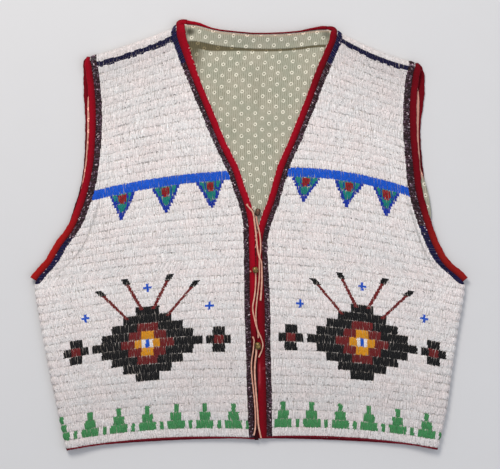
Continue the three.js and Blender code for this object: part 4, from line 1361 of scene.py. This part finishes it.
def woolFinish():
    finish = Finish("wool tape")
    place = finish.place()
    fibre = finish.noise(place, 1500, 4, 0.7)
    nap = finish.noise(place, 320, 3, 0.6)
    patches = finish.noise(place, 55, 3, 0.5)
    tint = finish.node("Attribute", {"attribute_name": "tint"}, None, 0)
    shade = finish.grey(0.72 + nap * 0.32 + fibre * 0.3 + (patches - 0.5) * 0.35)
    colour = finish.blend(1.0, tint, shade, "MULTIPLY")
    lint = finish.ramp(finish.noise(place, 2300, 1, 0.5), 0.68, 0.8) * 0.1
    colour = finish.blend(lint, colour, linear(226, 170, 170))
    return finish.surface(
        Base_Color=colour, Roughness=0.9, Sheen_Weight=0.03, Sheen_Roughness=0.5, Specular_IOR_Level=0.12,
        Normal=finish.bump(fibre + nap * 1.4, 0.7, 0.9))


woolMaterial = woolFinish()
sectionTurns = np.linspace(0, math.pi, 13)
sectionOut = np.sin(sectionTurns) ** 0.5
sectionUp = (1 - np.sign(np.cos(sectionTurns)) * np.abs(np.cos(sectionTurns)) ** 0.75) / 2
sectionDome = np.array([0.0] * 7 + [0.2, 0.65, 0.95, 1, 0.7, 0.1])


def woolStrip(name, replaced, lower, upper, hand, width, rise, tint, wavy=1.0):
    # lower and upper: the edge that the strip closes; hand: on which side of the way it lies
    lower, upper = np.array(lower), np.array(upper)
    length = np.concatenate([[0], np.cumsum(np.linalg.norm(np.diff(lower, axis=0), axis=1))])
    both = np.concatenate([lower, upper], 1)
    fresh = np.concatenate([[True], np.diff(length) > 1e-6])
    at = np.linspace(0, length[-1], int(length[-1] / wool["step"]) + 1)
    both = np.stack([np.interp(at, length[fresh], both[fresh, k]) for k in range(6)], -1)
    lower, upper = both[:, :3], both[:, 3:]
    up = upper - lower
    tall = np.linalg.norm(up, axis=1)
    up = up / tall[:, None]
    out = np.cross(np.gradient(lower, axis=0), up) * hand
    out /= np.linalg.norm(out, axis=1)[:, None]
    share = at / at[-1]
    start = chance.uniform(0, 6)
    wave = np.sin(at * 0.31 + start) + 0.7 * np.sin(at * 0.83 + 2 * start) + 0.5 * np.sin(at * 0.097 + start)
    wide = width(share) * (1 + wool["wander"] * wavy * wave)
    tuft = np.sin(at * 1.35 + 1.2 * np.sin(at * 0.4 + start)) * np.sin(at * 0.21 + start)
    dome = rise * (0.9 + wool["pucker"] * wavy * tuft)
    w = size["gap"] + wide[:, None] * sectionOut
    w[:, [0, -1]] = -0.2
    h = tall[:, None] * sectionUp + dome[:, None] * sectionDome + 0.08 * wavy * tuft[:, None] * sectionUp
    rings = lower[:, None] + w[..., None] * out[:, None] + h[..., None] * up[:, None]
    points, faces = closedTube(rings)
    middle = points.mean(0)
    corners = points[faces] - middle
    if np.einsum("ij,ij->i", corners[:, 0], np.cross(corners[:, 1], corners[:, 2])).sum() < 0:
        faces = faces[:, ::-1]
    shares = np.concatenate([np.repeat(share, rings.shape[1]), [0, 1]])
    outer = np.concatenate([np.tile(sectionOut, len(rings)), [0.5, 0.5]])
    colour = tint(shares, outer, points)
    piece = meshPiece(name, points, faces, woolMaterial, None, np.concatenate(
        [colour, np.ones((len(colour), 1))], 1)[faces])
    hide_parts(replaced)
    return piece


def tinted(*rows):
    # colours along a strip, from rows of share, name
    curve = [(share, *linear(*wool[name])) for share, name in rows]
    shares = [row[0] for row in curve]

    def tint(share, outer, points):
        colour = np.stack([np.interp(share, shares, [row[k] for row in curve]) for k in (1, 2, 3)], -1)
        # painted shade: darker where the strip meets the panel's edge
        colour = colour * (1 - 0.25 * (outer < 0.5))[:, None]
        for x, y, wide, long in wool["worn"]:
            away = ((points[:, 0] - x) / wide) ** 2 + ((points[:, 1] - y) / long) ** 4
            amount = 0.5 * np.exp(-away)[:, None]
            colour = mix(colour, np.array(linear(*wool["wornTint"])), amount)
        return colour

    return tint


bindingPieces = {front.name: [] for front in fronts}
for front in fronts:
    inwards = -front.side
    neckX = neckLeft if front is left else neckRight
    lanes = np.linspace(0, size["lanes"], 400)
    line = front.line(lanes)
    edgeLine = np.stack(front.place(lanes, line["width"]), -1)
    seat = front.seat(lanes, line["width"])[:, None]
    lower = np.concatenate([edgeLine, seat], 1)
    upper = np.concatenate([edgeLine, seat + size["hide"] + 0.3], 1)
    flat = float(shoulderY(neckX) - size["fold"] - seamY(neckX) - size["gap"])
    run = np.linspace(flat, flat + size["fold"] * math.radians(35), 12)
    over = wrap(np.full(12, float(neckX)), run, np.zeros(12))
    under = wrap(np.full(12, float(neckX)), run, np.full(12, -size["hide"]))
    first = np.array([[0, -size["hemBinding"] - size["gap"], 0]])
    corner, narrowed = wool["corners"][front.name]
    corner = np.array(corner)
    lower = np.concatenate([lower[:1] + first, lower, under])
    upper = np.concatenate([upper[:1] + first, upper, over])
    turned = smoothThrough([(k, *low, *high) for k, (low, high) in enumerate(zip(
        np.concatenate([lower[-12::11], corner[:, [0, 1, 2]]]),
        np.concatenate([upper[-12::11], corner[:, [0, 1, 3]]])))])(np.linspace(1, len(corner) + 1, 26)[1:])
    lower = np.concatenate([lower, turned[:, :3]])
    upper = np.concatenate([upper, turned[:, 3:]])
    widths = np.interp(np.linspace(0, 51, 120), lanes, line["bind"])
    strip = woolStrip(
        f"wool_front_{front.name}", f"binding_front_{front.name}", lower, upper, inwards,
        lambda share: np.interp(share, np.linspace(0, 1, 120), widths) * mix(
            1, narrowed, ease(share, 0.955, 1)), size["bindingRise"],
        tinted(*wool["frontRows"][front.name]))
    bindingPieces[front.name].append(strip)
    lanes = np.linspace(size["underarm"] + 0.5, size["lanes"], 300)
    edgeLine = np.stack(front.place(lanes, 0 * lanes), -1)
    seat = front.seat(lanes, 0 * lanes)[:, None]
    armX = float(edgeLine[-1, 0])
    flat = float(shoulderY(armX) - size["fold"] - seamY(armX) - size["gap"])
    run = np.linspace(0.8, flat + size["fold"] * math.radians(70), 14)
    over = wrap(np.full(14, armX), run, np.full(14, 0.2))
    under = wrap(np.full(14, armX), run, np.full(14, -size["hide"]))
    strip = woolStrip(
        f"wool_armhole_{front.name}", f"binding_armhole_front_{front.name}",
        np.concatenate([np.concatenate([edgeLine, seat], 1), under]),
        np.concatenate([np.concatenate([edgeLine, seat + size["hide"] + 0.2], 1), over]),
        front.side, lambda share: wool["armWidth"] * (1 - 0.45 * ease(share, 0.97, 1)), size["bindingRise"],
        tinted(*wool["armRows"][front.name]))
    bindingPieces[front.name].append(strip)
    column = 0 if front is left else len(backColumns) - 1
    rowsUp = [backRow(kind, value) for kind, value in backRows if (kind == "lane" and value >= 21)
              or kind == "drop" or (kind == "turn" and value < math.radians(18))]
    strip = woolStrip(
        f"wool_armhole_back_{front.name}", f"binding_armhole_back_{front.name}",
        np.stack([row[0][column] for row in rowsUp]), np.stack([row[1][column] for row in rowsUp]),
        front.side, lambda share: (size["armholeBinding"] - 0.5 + wool["topSpread"] * ease(
            share, 0.72, 0.86)) * (1 - 0.5 * ease(share, 0.965, 1)), 0.25,
        # painted shade: darker over most of its length, as it lies below and behind the front's binding
        tinted((0, "dark"), (0.6, "dark"), (0.76, "claret"), (1, "claret")))
    bindingPieces[front.name].append(strip)
    run = np.concatenate([np.linspace(0, foldRun, 9), np.linspace(
        foldRun, float(front.runLength(np.array(0.0))) + size["edging"], 130)[1:]])
    at = np.zeros(len(run))
    strip = woolStrip(
        f"wool_hem_{front.name}", f"binding_hem_{front.name}", front.surface(at, run, at),
        front.surface(at, run, at + size["hide"]), -front.side,
        lambda share: size["hemBinding"] - 0.7 + 0 * share, 0.2, tinted((0, "hem"), (1, "hem")),
        2.8)
    bindingPieces[front.name].append(strip)

x = np.linspace(neckLeft + wool["neckFrom"], neckRight - wool["neckTo"], 140)
rise = neckRise(x, 0)
neckStrip = woolStrip(
    "wool_neck_back", "binding_back_neck", np.stack([x, neckY(x), rise], -1),
    np.stack([x, neckY(x), rise + liningRest + size["liningWall"]], -1), -1,
    lambda share: np.interp(share, *zip(*wool["neckWidths"])),
    0.4, tinted((0, "red"), (0.15, "red"), (0.3, "deep"), (1, "deep")))
hemRowPoints = backRow("lane", 0)
hemStrip = woolStrip(
    "wool_hem_back", "binding_hem_back", hemRowPoints[0], hemRowPoints[1], 1,
    lambda share: size["hemBinding"] + 0 * share, 0.1, tinted((0, "hem"), (1, "hem")), 1)
print("wool bindings made")


# ---- stitches along the neck opening, and knots where the ties leave the edge
stitches = {
    "tint": (236, 200, 188), "every": 7, "long": 3.4, "thick": 0.5, "from": 22, "to": 45,
    "knots": [(-2.4, 38.9, 8.4, 1.7), (1.9, -47, 8.3, 1.5), (5.2, -132.2, 8.3, 1.5), (7.6, -42.2, 9.6, 1.3)],
}


def threadFinish():
    finish = Finish("cotton thread")
    grain = finish.noise(finish.place(), 3000, 2, 0.6)
    colour = finish.blend(grain, linear(*stitches["tint"]), linear(196, 150, 140))
    return finish.surface(Base_Color=colour, Roughness=0.8, Normal=finish.bump(grain, 0.2, 0.6))


def bulb(middle, along, beside, above, sizes):
    # a closed egg: its points and faces
    turns = np.linspace(0, math.pi, 7)[1:-1]
    angle = np.arange(8) * math.pi / 4
    reach, ring = np.cos(turns)[:, None, None], np.sin(turns)[:, None, None]
    angle = angle[None, :, None]
    around = np.cos(angle) * beside * sizes[1] + np.sin(angle) * above * sizes[2]
    return closedTube(middle + reach * along * sizes[0] + ring * around)


def gathered(name, parts, finish):
    offsets = np.cumsum([0] + [len(points) for points, _ in parts])
    faces = np.concatenate([faces + start for (_, faces), start in zip(parts, offsets)])
    piece = meshPiece(name, np.concatenate([points for points, _ in parts]), faces, finish)
    return piece


threadMaterial = threadFinish()
up = np.array([0.0, 0, 1])
for front in fronts:
    lanes = np.linspace(stitches["from"], stitches["to"], 800)
    line = front.line(lanes)
    edgeLine = np.stack(front.place(lanes, line["width"]), -1)
    along = np.gradient(edgeLine, axis=0)
    along /= np.linalg.norm(along, axis=1)[:, None]
    out = np.stack([along[:, 1], -along[:, 0]], -1) * -front.side
    free = edgeLine + out * (line["bind"] + size["gap"] + 0.1)[:, None]
    reach = np.concatenate([[0], np.cumsum(np.linalg.norm(np.diff(free, axis=0), axis=1))])
    parts, at = [], 2.0
    while at < reach[-1]:
        k = int(np.searchsorted(reach, at))
        k = min(k, len(lanes) - 1)
        seat = float(front.seat(lanes[k], line["width"][k]))
        middle = np.array([*free[k], seat + chance.uniform(1.9, 2.6)])
        turn = chance.normal(0.25, 0.2)
        way = np.array([*(along[k] * math.cos(turn) + out[k] * math.sin(turn)), 0])
        long = stitches["long"] / 2 * chance.uniform(0.7, 1.3)
        sizes = np.array([long, stitches["thick"], stitches["thick"]])
        parts.append(bulb(middle, way, np.cross(up, way), up, sizes))
        at += stitches["every"] * chance.uniform(0.6, 1.4)
    bindingPieces[front.name].append(gathered(f"stitches_{front.name}", parts, threadMaterial))
parts = []
for x, y, z, radius in stitches["knots"]:
    turn = chance.uniform(0, 3)
    way = np.array([math.cos(turn), math.sin(turn), 0.2])
    sizes = radius * np.array([1, chance.uniform(0.6, 0.8), 0.6])
    parts.append(bulb(np.array([x, y, z]), way, np.cross(up, way), up, sizes))
gathered("tie_knots", parts, thongMaterial)
print("stitches and knots made")


# ---- metal beads on the ties
tieBeads = {
    # middle, radius, length along the tie, turn in degrees
    "upper": ((11.2, 29.4, 7.4), 3.4, 8.8, -18), "middle": ((8.1, -45, 11.1), 3.6, 7.4, 8),
    "lower": ((11.7, -143, 11.1), 3.7, 9, 10),
}
metal = {"hole": 1.45, "sides": 28, "kinds": {
    "old brass": ((164, 136, 84), (78, 66, 40)), "dark metal": ((118, 88, 72), (44, 32, 28))}}


def metalFinish(kind):
    finish = Finish(kind)
    clean, tarnished = metal["kinds"][kind]
    place = finish.place()
    patches = finish.noise(place, 420, 4, 0.65)
    pits = finish.noise(place, 1800, 2, 0.6)
    tarnish = finish.ramp(patches + pits * 0.3, 0.5, 0.78)
    colour = finish.blend(tarnish, linear(*clean), linear(*tarnished))
    return finish.surface(Base_Color=colour, Metallic=1 - tarnish * 0.35, Roughness=0.28 + tarnish * 0.35,
                          Normal=finish.bump(patches + pits * 0.5, 0.35, 0.8))


brass, darkMetal = metalFinish("old brass"), metalFinish("dark metal")
metalBeads = {}
for name, (middle, radius, length, turn) in tieBeads.items():
    hole = metal["hole"]
    profile = [
        (hole, -0.5), (hole + 0.35, -0.53), (0.62 * radius, -0.5), (0.82 * radius, -0.43),
        (0.95 * radius, -0.3), (radius, -0.12), (radius * 0.99, 0.12), (0.95 * radius, 0.3),
        (0.82 * radius, 0.43), (0.62 * radius, 0.5), (hole + 0.35, 0.53), (hole, 0.5),
        (hole * 0.96, 0.2), (hole * 0.96, -0.2)]
    r, y = np.array(profile).T
    angle = np.arange(metal["sides"]) * 2 * math.pi / metal["sides"]
    dent = 1 + 0.03 * np.sin(3 * angle[:, None] + turn) * np.sin(r * 2) + 0.02 * np.sin(7 * angle[:, None])
    rings = np.stack([r * dent * np.cos(angle[:, None]), y * length + 0 * dent,
                      r * dent * np.sin(angle[:, None])], -1)
    c, s = math.cos(math.radians(turn)), math.sin(math.radians(turn))
    rings = rings @ np.array([[c, s, 0], [-s, c, 0], [0, 0, 1]]) + np.array(middle)
    n, m = rings.shape[:2]
    i, j = np.meshgrid(np.arange(n), np.arange(m), indexing="ij")
    i2, j2 = (i + 1) % n, (j + 1) % m
    faces = np.stack([i * m + j, i * m + j2, i2 * m + j2, i2 * m + j], -1).reshape(-1, 4)
    piece = meshPiece(f"metal_bead_{name}", rings.reshape(-1, 3), faces[:, ::-1],
                      darkMetal if name == "upper" else brass)
    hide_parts(f"tie_bead_{name}")
    metalBeads[name] = piece
print("metal beads made")


# ---- the ties, three of them with the bead that they come out of: their start, length and route are worked out here and not used
onTies = {"thong_upper_b": "upper", "thong_middle": "middle", "thong_lower_b": "lower"}
for name, (piece, route, length) in ties.items():
    tuple(route[0] * mm)
    length * mm
    (route * mm).tolist()
    [metalBeads[onTies[name]]] if name in onTies else []


# ---- what the cloth and hide were cut to, read here and not used
for front in fronts:
    flat, area = hide["cuts"][front.name]
flat, area = hide["backCut"]
flat, area = lining["cut"]


# ---- floor, lamps and surroundings
def floorFinish():
    finish = Finish("pale paper")
    grain = finish.noise(finish.place(), 30, 4, 0.5)
    colour = finish.blend(grain * 0.1, linear(*studio["floor"]), linear(188, 186, 182))
    return finish.surface(Base_Color=colour, Roughness=0.95)


half = studio["floorSize"] / 2
corners = [(-half, -half, -0.4), (half, -half, -0.4), (half, half, -0.4), (-half, half, -0.4)]
floor = meshPiece("floor", corners, [(0, 1, 2, 3)], floorFinish())
for name, (place, wide, power, tint) in studio["lamps"].items():
    lamp = bpy.data.lights.new(name, "AREA")
    lamp.shape, lamp.size = "DISK", wide * mm
    lamp.energy, lamp.color = power, linear(*tint)
    lampObject = bpy.data.objects.new(name, lamp)
    lampObject.location = [v * mm for v in place]
    scene.collection.objects.link(lampObject)
    towards = -lampObject.location
    lampObject.rotation_euler = towards.to_track_quat("-Z", "Y").to_euler()
world = bpy.data.worlds.new("studio")
world.use_nodes = True
world.node_tree.nodes["Background"].inputs["Color"].default_value = (*linear(*studio["ambientTint"]), 1)
world.node_tree.nodes["Background"].inputs["Strength"].default_value = studio["ambient"]
scene.world = world
scene.view_settings.view_transform = "Standard"
print("studio made")
